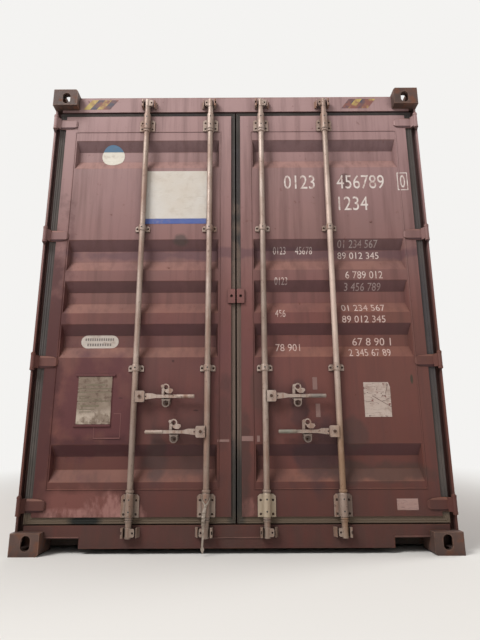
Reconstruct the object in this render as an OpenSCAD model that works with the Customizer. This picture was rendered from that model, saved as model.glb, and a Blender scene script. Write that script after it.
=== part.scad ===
/* [Overall size] */
// Length over the corner castings
box_l = 12192; // [9000:1:13700]
// Width over the corner castings
box_w = 2438; // [2400:1:2500]
// Height over the corner castings
box_h = 2896; // [2700:1:3000]

/* [Corner castings] */
// Length of a casting, along the container
cast_l = 178; // [174:1:190]
// Width of a casting, across the container
cast_w = 162; // [155:1:170]
// Height of a casting
cast_h = 118; // [112:1:122]
// Thickness of the plate with the twistlock mouth
cast_plate = 28; // [24:1:32]
// Thickness of the side and end walls
cast_wall = 14; // [10:1:18]
// Radius of the outer upright edge
cast_round = 8; // [4:1:14]
// Chamfer along the inner edge at the mouth
cast_chamfer = 12; // [4:1:20]
// Length of the twistlock mouth
mouth_l = 124.5; // [110:0.5:126]
// Width of the twistlock mouth
mouth_w = 63.5; // [56:0.5:66]
// Long dimension of the side and end mouths
hole_l = 79.5; // [70:0.5:80]
// Short dimension of the side and end mouths
hole_w = 51; // [44:0.5:56]
// Middle of the mouths from the end face
mouth_end = 103.5; // [98:0.5:106]
// Middle of the mouths from the side face
mouth_side = 89.5; // [85:0.5:92]

/* [Rear frame] */
// Posts and rails lie this far inside the faces of the castings
frame_inset = 3; // [2:0.5:5]
// Width of the rear posts across the container
post_w = 46; // [40:1:52]
// Depth of the rear posts' outer hook behind the casting face
hook_e = 62; // [58:1:66]
// Thickness of the outer hook
hook_t = 12; // [8:1:14]
// Depth of the face that the door seal closes on
seal_e = 100; // [96:1:106]
// Thickness of the inner channel of a rear post
channel_t = 12; // [8:1:14]
// Thickness of the outer plate of a post
post_t = 6; // [4:1:8]
// Depth of the rear face of the header and the sill
face_e = 60; // [59:1:64]
// Underside of the header below the top of the castings
header_drop = 136; // [130:1:144]
// Height of the lip behind the door seal
header_lip = 20; // [16:1:22]
// Depth of the header along the container
header_d = 80; // [70:1:100]
// Sheet thickness of the header
header_t = 4; // [3:0.5:6]
// Top of the sill
sill_top = 148; // [140:1:152]
// Underside of the sill
sill_low = 30; // [24:1:36]
// Thickness of the sill
sill_t = 6; // [4:1:8]
// Width of the twistlock notch beside each casting
notch_w = 194; // [150:1:210]
// Top of the twistlock notch
notch_top = 81; // [70:1:90]
// Thickness of the threshold plate
threshold_t = 4; // [3:0.5:6]

/* [Front frame] */
// Width of the front posts across the container
front_post_w = 112; // [100:1:130]
// Plate thickness of the front posts
front_post_t = 5; // [4:1:8]
// Height of the front top rail
front_rail_h = 90; // [80:1:94]
// Depth of the front rails along the container
front_rail_d = 60; // [50:1:80]
// Thickness of the front rails
front_rail_t = 4; // [3:0.5:6]

/* [Walls and roof] */
// Thickness of the side, front and roof sheets
sheet_t = 2; // [1.6:0.1:3]
// Depth of the side wall corrugation
side_depth = 36; // [30:1:40]
// Outer flat of the side wall corrugation
side_out = 72; // [60:1:90]
// Inner flat of the side wall corrugation
side_in = 70; // [60:1:90]
// Slope of the side wall corrugation, along the wall
side_slope = 68; // [50:1:80]
// Side sheets lie this far inside the faces of the castings
side_inset = 8; // [7:0.5:10]
// Depth of the front wall corrugation
front_depth = 45.5; // [36:0.5:50]
// Outer flat of the front wall corrugation
front_out = 110; // [90:1:120]
// Inner flat of the front wall corrugation
front_in = 104; // [90:1:120]
// Slope of the front wall corrugation, along the wall
front_slope = 18; // [14:1:30]
// Rise of the roof ribs above the flat of the sheet
rib_rise = 20; // [14:1:22]
// Flat between two roof ribs
rib_gap = 91; // [60:1:110]
// Flat on top of a roof rib
rib_top = 92; // [60:1:110]
// Slope of a roof rib
rib_slope = 13; // [10:1:20]
// Roof ribs end this far inside the castings' side faces
rib_end = 105; // [90:1:140]
// Length of the flat plate at each end of the roof
roof_plate_l = 300; // [240:1:360]
// Thickness of the flat plates at the ends of the roof
roof_plate_t = 4; // [3:0.5:6]
// Height and width of the square top side rails
top_rail = 60; // [50:1:70]
// Wall thickness of the top side rails
top_rail_t = 3; // [2:0.5:5]
// Flat of the roof below the top of the castings
roof_drop = 28; // [26:0.5:32]
// Overlap of the flat plates on the pressed roof
roof_lap = 60; // [40:1:80]
// Top side rails stand this far outside the side sheets
rail_out = 2; // [1:0.5:4]
// Width of a ventilator on the side wall
vent_w = 60; // [40:1:64]
// Height of a ventilator
vent_h = 210; // [150:1:260]
// Thickness of a ventilator
vent_t = 24; // [16:1:30]
// Ventilators lie this far below the top side rails
vent_drop = 60; // [30:1:120]
// Width of the rim beside the louvres of a ventilator
vent_rim = 6; // [4:1:10]
// Number of louvre slots in a ventilator
vent_slots = 8; // [4:1:10]

/* [Base] */
// Height of the bottom side rails
rail_h = 162; // [150:1:170]
// Underside of the bottom side rails
rail_low = 17; // [12:1:20]
// Width of the upper flange of the bottom side rails
rail_flange = 48; // [40:1:50]
// Width of the lower flange of the bottom side rails
rail_lip = 30; // [20:1:36]
// Thickness of the bottom side rails
rail_t = 4.5; // [3:0.5:6]
// Depth of the cross members, which carry the floor
cross_h = 120; // [110:1:120]
// Width of the flanges of the cross members
cross_w = 45; // [35:1:55]
// Thickness of the cross members
cross_t = 4; // [3:0.5:5]
// Spacing of the cross members
cross_pitch = 305; // [250:1:400]
// Space between the threshold and the first cross member
cross_rear = 30; // [10:1:60]
// Space between the last cross members and the front posts
cross_front = 7; // [5:1:30]
// Space between the whole cross members and the tunnel
cross_tunnel = 15; // [10:1:40]
// Length of the tunnel behind its first cross members
tunnel_lead = 20; // [10:1:40]
// Width of the spacers on top of the tunnel
spacer_w = 60; // [40:1:80]
// Thickness of the plywood floor
ply_t = 28; // [20:1:30]
// Length of a plywood board
ply_l = 2400; // [1200:1:2440]
// Gap between two plywood boards
ply_gap = 3; // [2:0.5:5]
// Width of the steel rail along the middle of the floor
floor_rail_w = 50; // [30:1:70]
// Length of the gooseneck tunnel
tunnel_l = 3300; // [3100:1:3500]
// Clear width of the gooseneck tunnel
tunnel_w = 1029; // [1029:1:1060]
// Thickness of the tunnel plate
tunnel_t = 4; // [3:0.5:6]
// Clear height of the gooseneck tunnel
tunnel_h = 120; // [112:1:122]

/* [Door leaves] */
// Depth of the outer face of the door leaves
leaf_e = 62; // [60:1:66]
// Thickness of a door leaf
leaf_t = 50; // [40:1:54]
// Outer edge of a leaf from the side face of the castings
leaf_side = 83; // [76:1:92]
// Inner edge of a leaf from the middle of the container
leaf_mid = 30; // [26:1:36]
// Underside of the leaves
leaf_low = 190; // [180:1:200]
// Top of the leaves below the top of the castings
leaf_drop = 168; // [162:1:176]
// Width of the upright frame tubes
stile_w = 70; // [60:1:76]
// Height of the bottom frame channel
bottom_member = 145; // [138:1:160]
// Height of the top frame channel
top_member = 120; // [112:1:132]
// Wall thickness of the leaf frame
leaf_wall = 3.5; // [2.5:0.5:5]
// Sheet thickness of the door panel
panel_t = 2; // [1.6:0.1:3]
// Depth of the pressed recesses
recess_d = 36; // [24:1:40]
// Height of a recess at the panel face
recess_h = 206; // [180:1:220]
// Height of the flat at the bottom of a recess
recess_flat = 72; // [50:1:90]
// Distance between the three middle recesses
recess_pitch = 274; // [250:1:300]
// Distance of the outer recesses from the middle one
recess_outer = 982; // [900:1:990]
// Space from the frame tubes to the ends of the recesses
recess_margin = 10; // [6:1:24]
// Slope at the ends of a recess, along the door
recess_end = 12; // [6:1:30]
// Gap that the door seal keeps to the frame
seal_gap = 5; // [4:0.5:6]
// Thickness of the seal lip
seal_t = 8; // [5:1:10]
// Thickness of the seal's foot on the edge of the leaf
seal_foot = 8; // [5:1:10]
// Overlap of the seal lip on the posts
seal_lap = 10; // [6:1:14]

/* [Door hinges] */
// Hinge pins from the side face of the castings
pin_side = 23; // [21:1:26]
// Depth of the hinge pins behind the casting face
pin_e = 30; // [28:1:32]
// Radius of a hinge pin
pin_r = 7; // [5:0.5:8]
// Clearance of a hinge pin in its blade
pin_gap = 0.3; // [0.1:0.1:0.5]
// Outer radius of a hinge knuckle
knuckle_r = 13; // [11:0.5:14]
// Height of a hinge blade
blade_h = 75; // [60:1:90]
// Thickness of a hinge blade on the leaf
blade_t = 10; // [8:1:10]
// Length of a hinge blade from the pin
blade_l = 138; // [120:1:150]
// Height of the bevels along a hinge blade
blade_bevel = 13; // [8:1:16]
// Length of the straight part of a hinge blade from the pin
blade_full = 56; // [40:1:70]
// Thickness of a hinge lug
lug_t = 12; // [8:1:16]
// Gap between blade and lug along the pin
lug_gap = 1; // [0.5:0.5:3]
// End hinges from the ends of the leaf
hinge_end = 62; // [55:1:90]
// Hinges on each door
hinge_count = 4; // [3:1:5]

/* [Locking gear] */
// Radius of the locking rods
rod_r = 17; // [14:0.5:18]
// Depth of the rod axes behind the casting face
rod_e = 36; // [36:0.5:37]
// Inner rods from the middle of the container
rod_in = 168; // [150:1:200]
// Outer rods from the middle of the container
rod_out = 590; // [560:1:640]
// Clearance of a rod in its bearings
rod_gap = 0.5; // [0.2:0.1:0.8]
// Lower end of the rods
rod_low = 84; // [80:1:88]
// Upper end of the rods below the top of the castings
rod_drop = 62; // [56:1:70]
// Height of a cam
cam_h = 50; // [40:1:54]
// Radius of a cam's body
cam_r = 19; // [18:0.5:19]
// Reach of a cam's ear
cam_reach = 36; // [32:1:37]
// Thickness of a cam's ear
ear_t = 14; // [10:1:16]
// Height of a cam's ear
ear_h = 42; // [34:1:46]
// Hole in a cam's ear
ear_hole = 12; // [8:1:14]
// Clear distance from a rod axis to the horn beside the cam's ear
horn_clear = 42; // [42:1:46]
// Thickness of that horn
horn_t = 7; // [6:1:10]
// Depth of the tip of that horn behind the casting face
horn_tip = 26; // [20:1:32]
// Clear distance from a rod axis to the claw on its other side
claw_clear = 24; // [24:1:28]
// Thickness of a claw
claw_t = 14; // [10:1:16]
// Depth of the tip of a claw behind the casting face
claw_tip = 14; // [10:1:20]
// Height of the notch in a claw
claw_notch = 18; // [12:1:24]
// Radius of the bearing housings
housing_r = 22; // [21:0.5:24]
// Chamfer at the ends of the housings
housing_bevel = 5; // [2:0.5:8]
// Height of the bottom housings
housing_low_h = 126; // [110:1:132]
// Height of the top housings
housing_top_h = 118; // [100:1:124]
// Width over the wings of a housing
wing_w = 100; // [96:1:110]
// Thickness of the wings
wing_t = 8; // [6:1:10]
// Height of the wings of a bottom housing
wing_low_h = 120; // [100:1:124]
// Height of the wings of a top housing
wing_top_h = 84; // [70:1:100]
// Cut at the corners of the wings
wing_cut = 12; // [4:1:16]
// Bolts from a rod axis
bolt_x = 34; // [33:0.5:36]
// Countersink round a bolt
bolt_hole = 14; // [10:1:16]
// Drain holes in the front of a housing
drain_hole = 10; // [6:1:12]
// Height of the saddle clamps
saddle_h = 40; // [30:1:50]
// Width over the ears of a saddle clamp
saddle_w = 90; // [86:1:100]
// Cut at the corners of those ears
saddle_cut = 8; // [4:1:12]
// Distance of the saddle clamps from the middle of the door
saddle_z = 444; // [430:1:470]
// Height of each of the two rings under a bottom housing
ring_h = 6; // [4:1:8]
// Height of the flared collar over a bottom housing
collar_h = 14; // [10:1:20]
// Space between a housing and the collar or ring beside it
collar_gap = 2; // [1:0.5:3]

/* [Door handles] */
// Height of the upper handles
handle_high = 848; // [820:1:880]
// Height of the lower handles
handle_low = 648; // [620:1:680]
// Rivet of a handle from its rod axis
rivet_x = 34; // [32:1:38]
// Radius of a handle rivet
rivet_r = 8; // [6:0.5:9]
// Clearance of a handle on its rivet
rivet_gap = 0.3; // [0.1:0.1:0.5]
// Height of the handle hub on the rod
hub_h = 64; // [54:1:70]
// Reach of the hub from the rod axis
hub_x = 62; // [58:1:66]
// Inner edge of the hub from the rod axis
hub_in = 9; // [6:1:10]
// Thickness of the hub plates
hub_t = 4; // [3:0.5:4]
// Radius of the hub's corners
hub_round = 9; // [5:1:12]
// Space between the hub plates and the handle bar
hub_gap = 2; // [1:0.5:2]
// Thickness of a handle bar
bar_t = 10; // [8:0.5:10]
// Depth of the front of the handle bars
bar_e = 14; // [14:0.5:15]
// Height of a handle bar near its hub
bar_root = 34; // [28:1:38]
// Height of a handle bar at its neck, behind the catch
bar_neck = 18; // [14:1:20]
// End of the tall part of a bar from its rivet, along its lower edge
root_low = 36; // [20:1:60]
// End of the tall part of a bar from its rivet, along its upper edge
root_top = 72; // [60:1:80]
// Start of the neck from the rivet
neck_x = 98; // [90:1:104]
// Diameter of the round grip
bar_grip = 22; // [20:1:22]
// Length of the round grip
grip_l = 104; // [90:1:110]
// Hole in a handle bar beside its hub
bar_hole = 9; // [6:1:12]
// Reach of a handle bar from its rod axis
bar_l = 350; // [330:1:370]
// Handle catch from the rod axis
catch_x = 186; // [170:1:200]
// Space under and over a handle bar in its cradle
cradle_gap = 5; // [4:0.5:6]
// Width of a cradle
cradle_w = 48; // [44:1:60]
// Thickness of the cradle plates
cradle_t = 6; // [4:1:8]
// Drop of a cradle's plate below its shelf
cradle_drop = 40; // [30:1:50]
// Width of the loop that hangs from a cradle
loop_w = 44; // [36:1:48]
// Drop of that loop below the shelf
loop_drop = 46; // [36:1:56]
// Width of the loop's bar
loop_t = 6; // [5:1:8]
// Height of the catch pivot above the handle bar's middle
pivot_up = 57; // [54:1:62]
// Distance of the catch pivot to the left of the catch's ring
pivot_x = 20; // [19:0.5:21]
// Radius of the catch pivot
pivot_r = 4.5; // [4:0.5:5]
// Radius of a catch's boss on the pivot
boss_r = 9; // [8:0.5:10]
// Outer radius of a catch's ring
catch_r = 20; // [18:1:22]
// Inner radius of a catch's ring
catch_hole = 13; // [10:1:14]
// Middle of a catch's ring below its pivot
ring_drop = 6; // [4:1:8]
// Thickness of a catch
catch_t = 4; // [3:0.5:4]
// Depth of the front of the catches
catch_e = 4.5; // [4:0.5:5]
// Width of the centre lock plate on each leaf
lock_plate_w = 46; // [40:1:60]
// Height of the centre lock plate
lock_plate_h = 90; // [70:1:110]
// Thickness of the centre lock plate
lock_plate_t = 12; // [8:1:16]

/* [Hidden] */
$fn = 48;
// Half sizes, and a small overrun for cuts
hw = box_w / 2;
hl = box_l / 2;
over = 1;
// Posts
post_out = hw - frame_inset;
post_in = post_out - post_w;
post_top = box_h - cast_h;
// Header, sill and floor
header_low = box_h - header_drop;
roof_z = box_h - roof_drop;
floor_low = rail_low + rail_t + cross_h;
floor_top = floor_low + ply_t;
// Walls
side_x = hw - side_inset;
wall_low = rail_low + rail_h;
rail_top_low = roof_z - top_rail;
front_post_in = post_out - front_post_w;
roof_start = cast_l + roof_plate_l - roof_lap;
// Tunnel
tunnel_out = tunnel_w / 2 + tunnel_t;
tunnel_top = tunnel_h + tunnel_t;
tunnel_y = hl - tunnel_l;
// Cross members: places of the first and the last ones, and the even steps between them
full_first = -hl + cast_l + cross_rear;
full_last = tunnel_y - cross_tunnel - cross_w;
full_count = round((full_last - full_first) / cross_pitch);
full_step = (full_last - full_first) / full_count;
short_first = tunnel_y + tunnel_lead;
short_last = hl - cast_l - cross_front - cross_w;
short_count = round((short_last - short_first) / cross_pitch);
short_step = (short_last - short_first) / short_count;
// Door leaves
leaf_out = hw - leaf_side;
leaf_top = box_h - leaf_drop;
leaf_in_e = leaf_e + leaf_t;
leaf_z = (leaf_low + leaf_top) / 2;
panel_in = leaf_mid + stile_w;
panel_out = leaf_out - stile_w;
panel_low = leaf_low + bottom_member;
panel_top = leaf_top - top_member;
recess_z = [for (k = [-recess_outer, -recess_pitch, 0, recess_pitch, recess_outer]) leaf_z + k];
seal_out = post_in + seal_lap;
seal_e0 = seal_e - seal_gap - seal_t;
// Hinges
pin_x = hw - pin_side;
hinge_step = (leaf_top - leaf_low - 2 * hinge_end) / (hinge_count - 1);
hinge_z = [for (k = [0:hinge_count - 1]) leaf_low + hinge_end + k * hinge_step];
// Rods, from left to right: place, height of the handle, and side that its bar points to
rod_x = [-rod_out, -rod_in, rod_in, rod_out];
rod_handle = [handle_high, handle_low, handle_high, handle_low];
rod_side = [1, -1, 1, -1];
rod_top = box_h - rod_drop;

// A flat shape drawn in width and height, run along the container
module along_y(l) {
    translate([0, l, 0]) rotate([90, 0, 0]) linear_extrude(l) children();
}

// A flat shape drawn in length and height, run across the container
module along_x(l) {
    rotate([90, 0, 90]) linear_extrude(l) children();
}

// The same piece on the left and the right, or at the rear and the front
module both_sides() {
    children();
    mirror([1, 0, 0]) children();
}

module both_ends() {
    children();
    mirror([0, 1, 0]) children();
}

// Depths are measured from the rear faces of the castings
module from_rear() {
    translate([0, -hl, 0]) children();
}

module from_front() {
    translate([0, hl, 0]) mirror([0, 1, 0]) children();
}

// A box between two corners
module block(a, b) {
    translate(a) cube(b - a);
}

// A slot with round ends, its long side along the first axis
module slot(long, wide) {
    square([long - wide, wide], center = true);
    for (s = [-1, 1]) translate([s * (long - wide) / 2, 0]) circle(d = wide);
}

// The corners of a pressed wave, on the face at height t of the sheet
function wave_run(n, out, slope, dip, depth, t) =
    let (pitch = out + dip + 2 * slope, c = t * tan(atan2(depth, slope) / 2))
    [for (k = [0:n - 1]) each [
        [k * pitch + out - c, t],
        [k * pitch + out + slope - c, depth + t],
        [k * pitch + out + slope + dip + c, depth + t],
        [(k + 1) * pitch + c, t]
    ]];

function reversed(list) = [for (k = [len(list) - 1:-1:0]) list[k]];

function wave_count(l, out, slope, dip) = floor((l - out) / (out + dip + 2 * slope));

// Places the whole waves in the middle of a sheet of length l
function wave_start(l, out, slope, dip) =
    (l - out - wave_count(l, out, slope, dip) * (out + dip + 2 * slope)) / 2;

function moved(list, d) = [for (p = list) p + d];

module wave_sheet(l, out, slope, dip, depth, t) {
    n = wave_count(l, out, slope, dip);
    d = [wave_start(l, out, slope, dip), 0];
    polygon(concat(
        [[0, 0]], moved(wave_run(n, out, slope, dip, depth, 0), d), [[l, 0], [l, t]],
        reversed(moved(wave_run(n, out, slope, dip, depth, t), d)), [[0, t]]
    ));
}

// Corner castings: a hollow block with a twistlock mouth, an end mouth and a side mouth
module casting() {
    hole_z = (cast_plate + cast_h - cast_wall) / 2 + 1;
    difference() {
        intersection() {
            linear_extrude(cast_h) union() {
                translate([cast_round, 0]) square([cast_w - cast_round, cast_l]);
                translate([0, cast_round]) square([cast_w, cast_l - cast_round]);
                translate([cast_round, cast_round]) circle(cast_round);
            }
            along_y(cast_l) polygon([
                [0, 0], [cast_w - cast_chamfer, 0], [cast_w, cast_chamfer],
                [cast_w, cast_h], [0, cast_h]
            ]);
        }
        block([cast_wall, cast_wall, cast_plate], [cast_w - cast_wall, cast_l - cast_wall, cast_h - cast_wall]);
        translate([mouth_side, mouth_end, -over]) linear_extrude(cast_plate + 2 * over)
            rotate(90) slot(mouth_l, mouth_w);
        translate([mouth_side, -over, hole_z]) along_y(cast_wall + 2 * over)
            rotate(90) slot(hole_l, hole_w);
        translate([-over, mouth_end, hole_z]) along_x(cast_wall + 2 * over)
            slot(hole_l, hole_w);
    }
}

module bottom_corner_castings() {
    color("#40302e") both_ends() both_sides()
        translate([hw, -hl, 0]) mirror([1, 0, 0]) casting();
}

module top_corner_castings() {
    color("#40302e") both_ends() both_sides()
        translate([hw, -hl, box_h]) mirror([1, 0, 0]) mirror([0, 0, 1]) casting();
}

// Rear posts: an outer plate with a thick hook, welded to a heavy inner channel
module rear_corner_posts() {
    color("#6e4540") both_sides() from_rear() translate([0, 0, cast_h])
        linear_extrude(post_top - cast_h) difference() {
            polygon([
                [post_out, hook_e], [post_out, cast_l], [post_in, cast_l],
                [post_in, seal_e], [post_out - hook_t, seal_e], [post_out - hook_t, hook_e]
            ]);
            polygon([
                [post_out - post_t, seal_e + channel_t], [post_out - post_t, cast_l - channel_t],
                [post_in + channel_t, cast_l - channel_t], [post_in + channel_t, seal_e + channel_t]
            ]);
        }
}

// Front posts: a folded plate closed to a tube, with its inner corner cut back
module front_corner_posts() {
    inner_e = frame_inset + front_depth;
    wall_x = side_x - side_depth;
    color("#6e4540") both_sides() from_front() translate([0, 0, cast_h])
        linear_extrude(post_top - cast_h) difference() {
            front_post_outline(inner_e, wall_x);
            offset(delta = -front_post_t) front_post_outline(inner_e, wall_x);
        }
}

module front_post_outline(inner_e, wall_x) {
    polygon([
        [post_out, frame_inset], [post_out, cast_l], [wall_x, cast_l],
        [wall_x, inner_e + 40], [wall_x - 40, inner_e], [front_post_in, inner_e],
        [front_post_in, frame_inset]
    ]);
}

// Header over the doors: a folded box with a lip that the door seal closes on
module door_header() {
    color("#6e4540") from_rear() {
        back = face_e + header_d;
        difference() {
            union() {
                translate([-post_in, 0, 0]) along_x(2 * post_in) polygon([
                    [face_e, header_low], [face_e, post_top], [back, post_top],
                    [back, header_low - header_lip], [seal_e, header_low - header_lip],
                    [seal_e, header_low]
                ]);
                translate([cast_w - hw, 0, 0]) along_x(2 * (hw - cast_w)) polygon([
                    [face_e, header_low], [face_e, roof_z], [back, roof_z], [back, header_low]
                ]);
            }
            translate([cast_w - hw - over, 0, 0]) along_x(2 * (hw - cast_w + over)) polygon([
                [face_e + header_t, header_low + header_t], [face_e + header_t, roof_z - header_t],
                [back - header_t, roof_z - header_t], [back - header_t, header_low + header_t]
            ]);
        }
    }
}

// Sill under the doors: an inverted trough, cut away beside the castings for the twistlocks
module door_sill() {
    color("#6e4540") from_rear() difference() {
        union() {
            translate([cast_w - hw, 0, 0]) along_x(2 * (hw - cast_w)) difference() {
                polygon([
                    [face_e, sill_low], [face_e, sill_top], [cast_l, sill_top], [cast_l, sill_low]
                ]);
                polygon([
                    [face_e + sill_t, sill_low - over], [face_e + sill_t, sill_top - sill_t],
                    [cast_l - sill_t, sill_top - sill_t], [cast_l - sill_t, sill_low - over]
                ]);
            }
            both_sides() block([hw - cast_w, face_e, cast_h], [post_in, cast_l, sill_top]);
            both_sides() translate([hw - cast_w - notch_w - sill_t, 0, 0]) along_x(sill_t)
                polygon([
                    [face_e, sill_low], [face_e, sill_top], [cast_l, sill_top], [cast_l, sill_low]
                ]);
            both_sides() block(
                [hw - cast_w - notch_w, face_e, notch_top], [hw - cast_w, cast_l, notch_top + sill_t]
            );
        }
        both_sides() block(
            [hw - cast_w - notch_w, face_e - over, sill_low - over],
            [hw - cast_w + over, cast_l + over, notch_top]
        );
    }
}

// Threshold: a folded plate from the sill up to the level of the floor
module threshold_plate() {
    leg_e = cast_l - 2 * threshold_t;
    color("#5a4038") from_rear() translate([-post_in, 0, 0]) along_x(2 * post_in) union() {
        translate([seal_e, floor_top - threshold_t]) square([cast_l - seal_e + 2 * threshold_t, threshold_t]);
        for (e = [seal_e, leg_e]) translate([e, sill_top]) square([threshold_t, floor_top - sill_top]);
    }
}

module front_top_rail() {
    back = frame_inset + front_rail_d;
    color("#6e4540") from_front() translate([cast_w - hw, 0, 0]) along_x(2 * (hw - cast_w)) difference() {
        translate([frame_inset, roof_z - front_rail_h]) square([front_rail_d, front_rail_h]);
        translate([frame_inset + front_rail_t, roof_z - front_rail_h + front_rail_t])
            square([front_rail_d - 2 * front_rail_t, front_rail_h - 2 * front_rail_t]);
    }
}

// Front bottom rail: a channel that opens to the rear, cut out over the gooseneck tunnel
module front_bottom_rail() {
    inner_e = frame_inset + front_rail_d;
    color("#6e4540") from_front() difference() {
        union() {
            translate([cast_w - hw, 0, 0]) along_x(2 * (hw - cast_w)) difference() {
                translate([frame_inset, rail_low]) square([front_rail_d, rail_h]);
                translate([frame_inset + front_rail_t, rail_low + front_rail_t])
                    square([front_rail_d, rail_h - 2 * front_rail_t]);
            }
            both_sides() block([hw - cast_w, frame_inset, cast_h], [front_post_in, inner_e, wall_low]);
            block(
                [-tunnel_out, frame_inset, tunnel_top], [tunnel_out, inner_e, tunnel_top + front_rail_t]
            );
        }
        block([-tunnel_out, 0, 0], [tunnel_out, inner_e + over, tunnel_top]);
    }
}

// Square tubes under the edges of the roof
module top_side_rails() {
    l = box_l - 2 * cast_l;
    color("#6e4540") both_sides() translate([side_x - top_rail + rail_out, -l / 2, rail_top_low])
        along_y(l) difference() {
            square(top_rail);
            translate([top_rail_t, top_rail_t]) square(top_rail - 2 * top_rail_t);
        }
}

// Channels that carry the walls and the ends of the cross members
module bottom_side_rails() {
    l = box_l - 2 * cast_l;
    color("#6e4540") both_sides() translate([post_out, -l / 2, rail_low]) along_y(l) polygon([
        [0, 0], [0, rail_h], [-rail_flange, rail_h], [-rail_flange, rail_h - rail_t],
        [-rail_t, rail_h - rail_t], [-rail_t, rail_t], [-rail_lip, rail_t], [-rail_lip, 0]
    ]);
}

// Side walls: one corrugated sheet from post to post
module side_wall() {
    l = box_l - 2 * cast_l;
    translate([side_x, -l / 2, wall_low]) linear_extrude(rail_top_low - wall_low) rotate(90)
        wave_sheet(l, side_out, side_slope, side_in, side_depth, sheet_t);
}

module left_side_wall() {
    color("#7a4c44") mirror([1, 0, 0]) side_wall();
}

module right_side_wall() {
    color("#7a4c44") side_wall();
}

// Front wall: deeper corrugations between the front posts
module front_wall() {
    l = 2 * front_post_in;
    color("#7a4c44") translate([-front_post_in, hl - frame_inset, wall_low])
        linear_extrude(post_top - wall_low) mirror([0, 1])
            wave_sheet(l, front_out, front_slope, front_in, front_depth - sheet_t, sheet_t);
}

// Everything below the roof's upper or lower face, with ribs that slope off at their ends
module rib_field(t, base, grow) {
    l = box_l - 2 * roof_start;
    half = side_x + grow;
    c = t * tan(atan2(rib_rise, rib_slope) / 2);
    rib_x = hw - rib_end;
    n = wave_count(l, rib_gap, rib_slope, rib_top);
    d = [wave_start(l, rib_gap, rib_slope, rib_top), 0];
    intersection() {
        translate([-half, -l / 2, roof_z]) along_x(2 * half) polygon(concat(
            [[-grow, base], [-grow, t]],
            moved(wave_run(n, rib_gap, rib_slope, rib_top, rib_rise, t), d),
            [[l + grow, t], [l + grow, base]]
        ));
        translate([0, -l / 2 - grow, roof_z]) along_y(l + 2 * grow) polygon([
            [-half, base], [-half, t], [-rib_x - c, t], [-rib_x + rib_slope - c, rib_rise + t],
            [rib_x - rib_slope + c, rib_rise + t], [rib_x + c, t], [half, t], [half, base]
        ]);
    }
}

// Roof: pressed sheets welded to one skin
module roof_sheet() {
    color("#7a4c44") difference() {
        rib_field(sheet_t, 0, 0);
        rib_field(0, -over, over);
    }
}

// Flat plates from the header and the front rail to the pressed roof
module roof_end_plates() {
    color("#7a4c44") both_ends() from_rear() translate([0, 0, roof_z]) linear_extrude(roof_plate_t)
        polygon([
            [cast_w - hw, face_e], [hw - cast_w, face_e], [hw - cast_w, cast_l],
            [side_x, cast_l], [side_x, roof_start], [-side_x, roof_start],
            [-side_x, cast_l], [cast_w - hw, cast_l]
        ]);
}

// Ventilators: louvred covers in the corrugations near the ends of the side walls
module side_vents() {
    l = box_l - 2 * cast_l;
    pitch = side_out + side_in + 2 * side_slope;
    first = wave_start(l, side_out, side_slope, side_in) + side_out + side_slope + side_in / 2;
    vent_y = first + 2 * pitch - l / 2;
    seat_x = side_x - side_depth;
    slot_h = vent_h / (2 * vent_slots + 1);
    color("#5c4a45") both_ends() both_sides()
        translate([seat_x, vent_y, rail_top_low - vent_h - vent_drop]) difference() {
            translate([0, -vent_w / 2, 0]) cube([vent_t, vent_w, vent_h]);
            for (k = [1:vent_slots]) translate([vent_t, -vent_w / 2 + vent_rim, (2 * k - 1) * slot_h])
                rotate([0, 30, 0]) translate([-slot_h, 0, 0])
                    cube([2 * slot_h, vent_w - 2 * vent_rim, slot_h * 0.7]);
        }
}

// Channel section of a cross member
module cross_section() {
    difference() {
        square([cross_w, cross_h]);
        translate([cross_t, cross_t]) square([cross_w, cross_h - 2 * cross_t]);
    }
}

// Floor bearers: whole ones behind the tunnel, short ones on both sides of it
module cross_members() {
    web_x = post_out - rail_t;
    z = rail_low + rail_t;
    color("#3a302c") {
        for (k = [0:full_count]) translate([-web_x, full_first + k * full_step, z])
            along_x(2 * web_x) cross_section();
        both_sides() for (k = [0:short_count]) translate([tunnel_out, short_first + k * short_step, z])
            along_x(web_x - tunnel_out) cross_section();
    }
}

// Gooseneck tunnel: a wide inverted channel under the front of the floor
module gooseneck_tunnel() {
    l = tunnel_l - frame_inset - front_rail_t;
    color("#3a302c") translate([0, tunnel_y, 0]) union() {
        along_y(l) polygon([
            [-tunnel_out, rail_low], [-tunnel_out, tunnel_top], [tunnel_out, tunnel_top],
            [tunnel_out, rail_low], [tunnel_out - tunnel_t, rail_low],
            [tunnel_out - tunnel_t, tunnel_h], [tunnel_t - tunnel_out, tunnel_h],
            [tunnel_t - tunnel_out, rail_low]
        ]);
        block([-tunnel_out, 0, rail_low], [tunnel_out, tunnel_t, tunnel_top]);
        for (k = [0:short_count]) translate([0, tunnel_lead + k * short_step, 0])
            block([-tunnel_out, 0, tunnel_top], [tunnel_out, spacer_w, floor_low]);
    }
}

// Plywood boards, in two rows with a steel rail between them
module plywood_floor() {
    start = -hl + cast_l + 2 * threshold_t + ply_gap;
    end = hl - cast_l;
    side = side_x - side_depth - ply_gap - sheet_t;
    inner = floor_rail_w / 2 + ply_gap;
    n = ceil((end - start) / ply_l);
    step = (end - start + ply_gap) / n;
    color("#b08a60") both_sides() for (k = [0:n - 1])
        block([inner, start + k * step, floor_low], [side, start + (k + 1) * step - ply_gap, floor_top]);
}

module floor_centre_rail() {
    start = -hl + cast_l + 2 * threshold_t + ply_gap;
    end = hl - frame_inset - front_depth;
    color("#3a302c") translate([-floor_rail_w / 2, start, floor_low]) along_y(end - start) difference() {
        square([floor_rail_w, ply_t]);
        translate([cross_t, -over]) square([floor_rail_w - 2 * cross_t, ply_t - cross_t + over]);
    }
}

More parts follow.
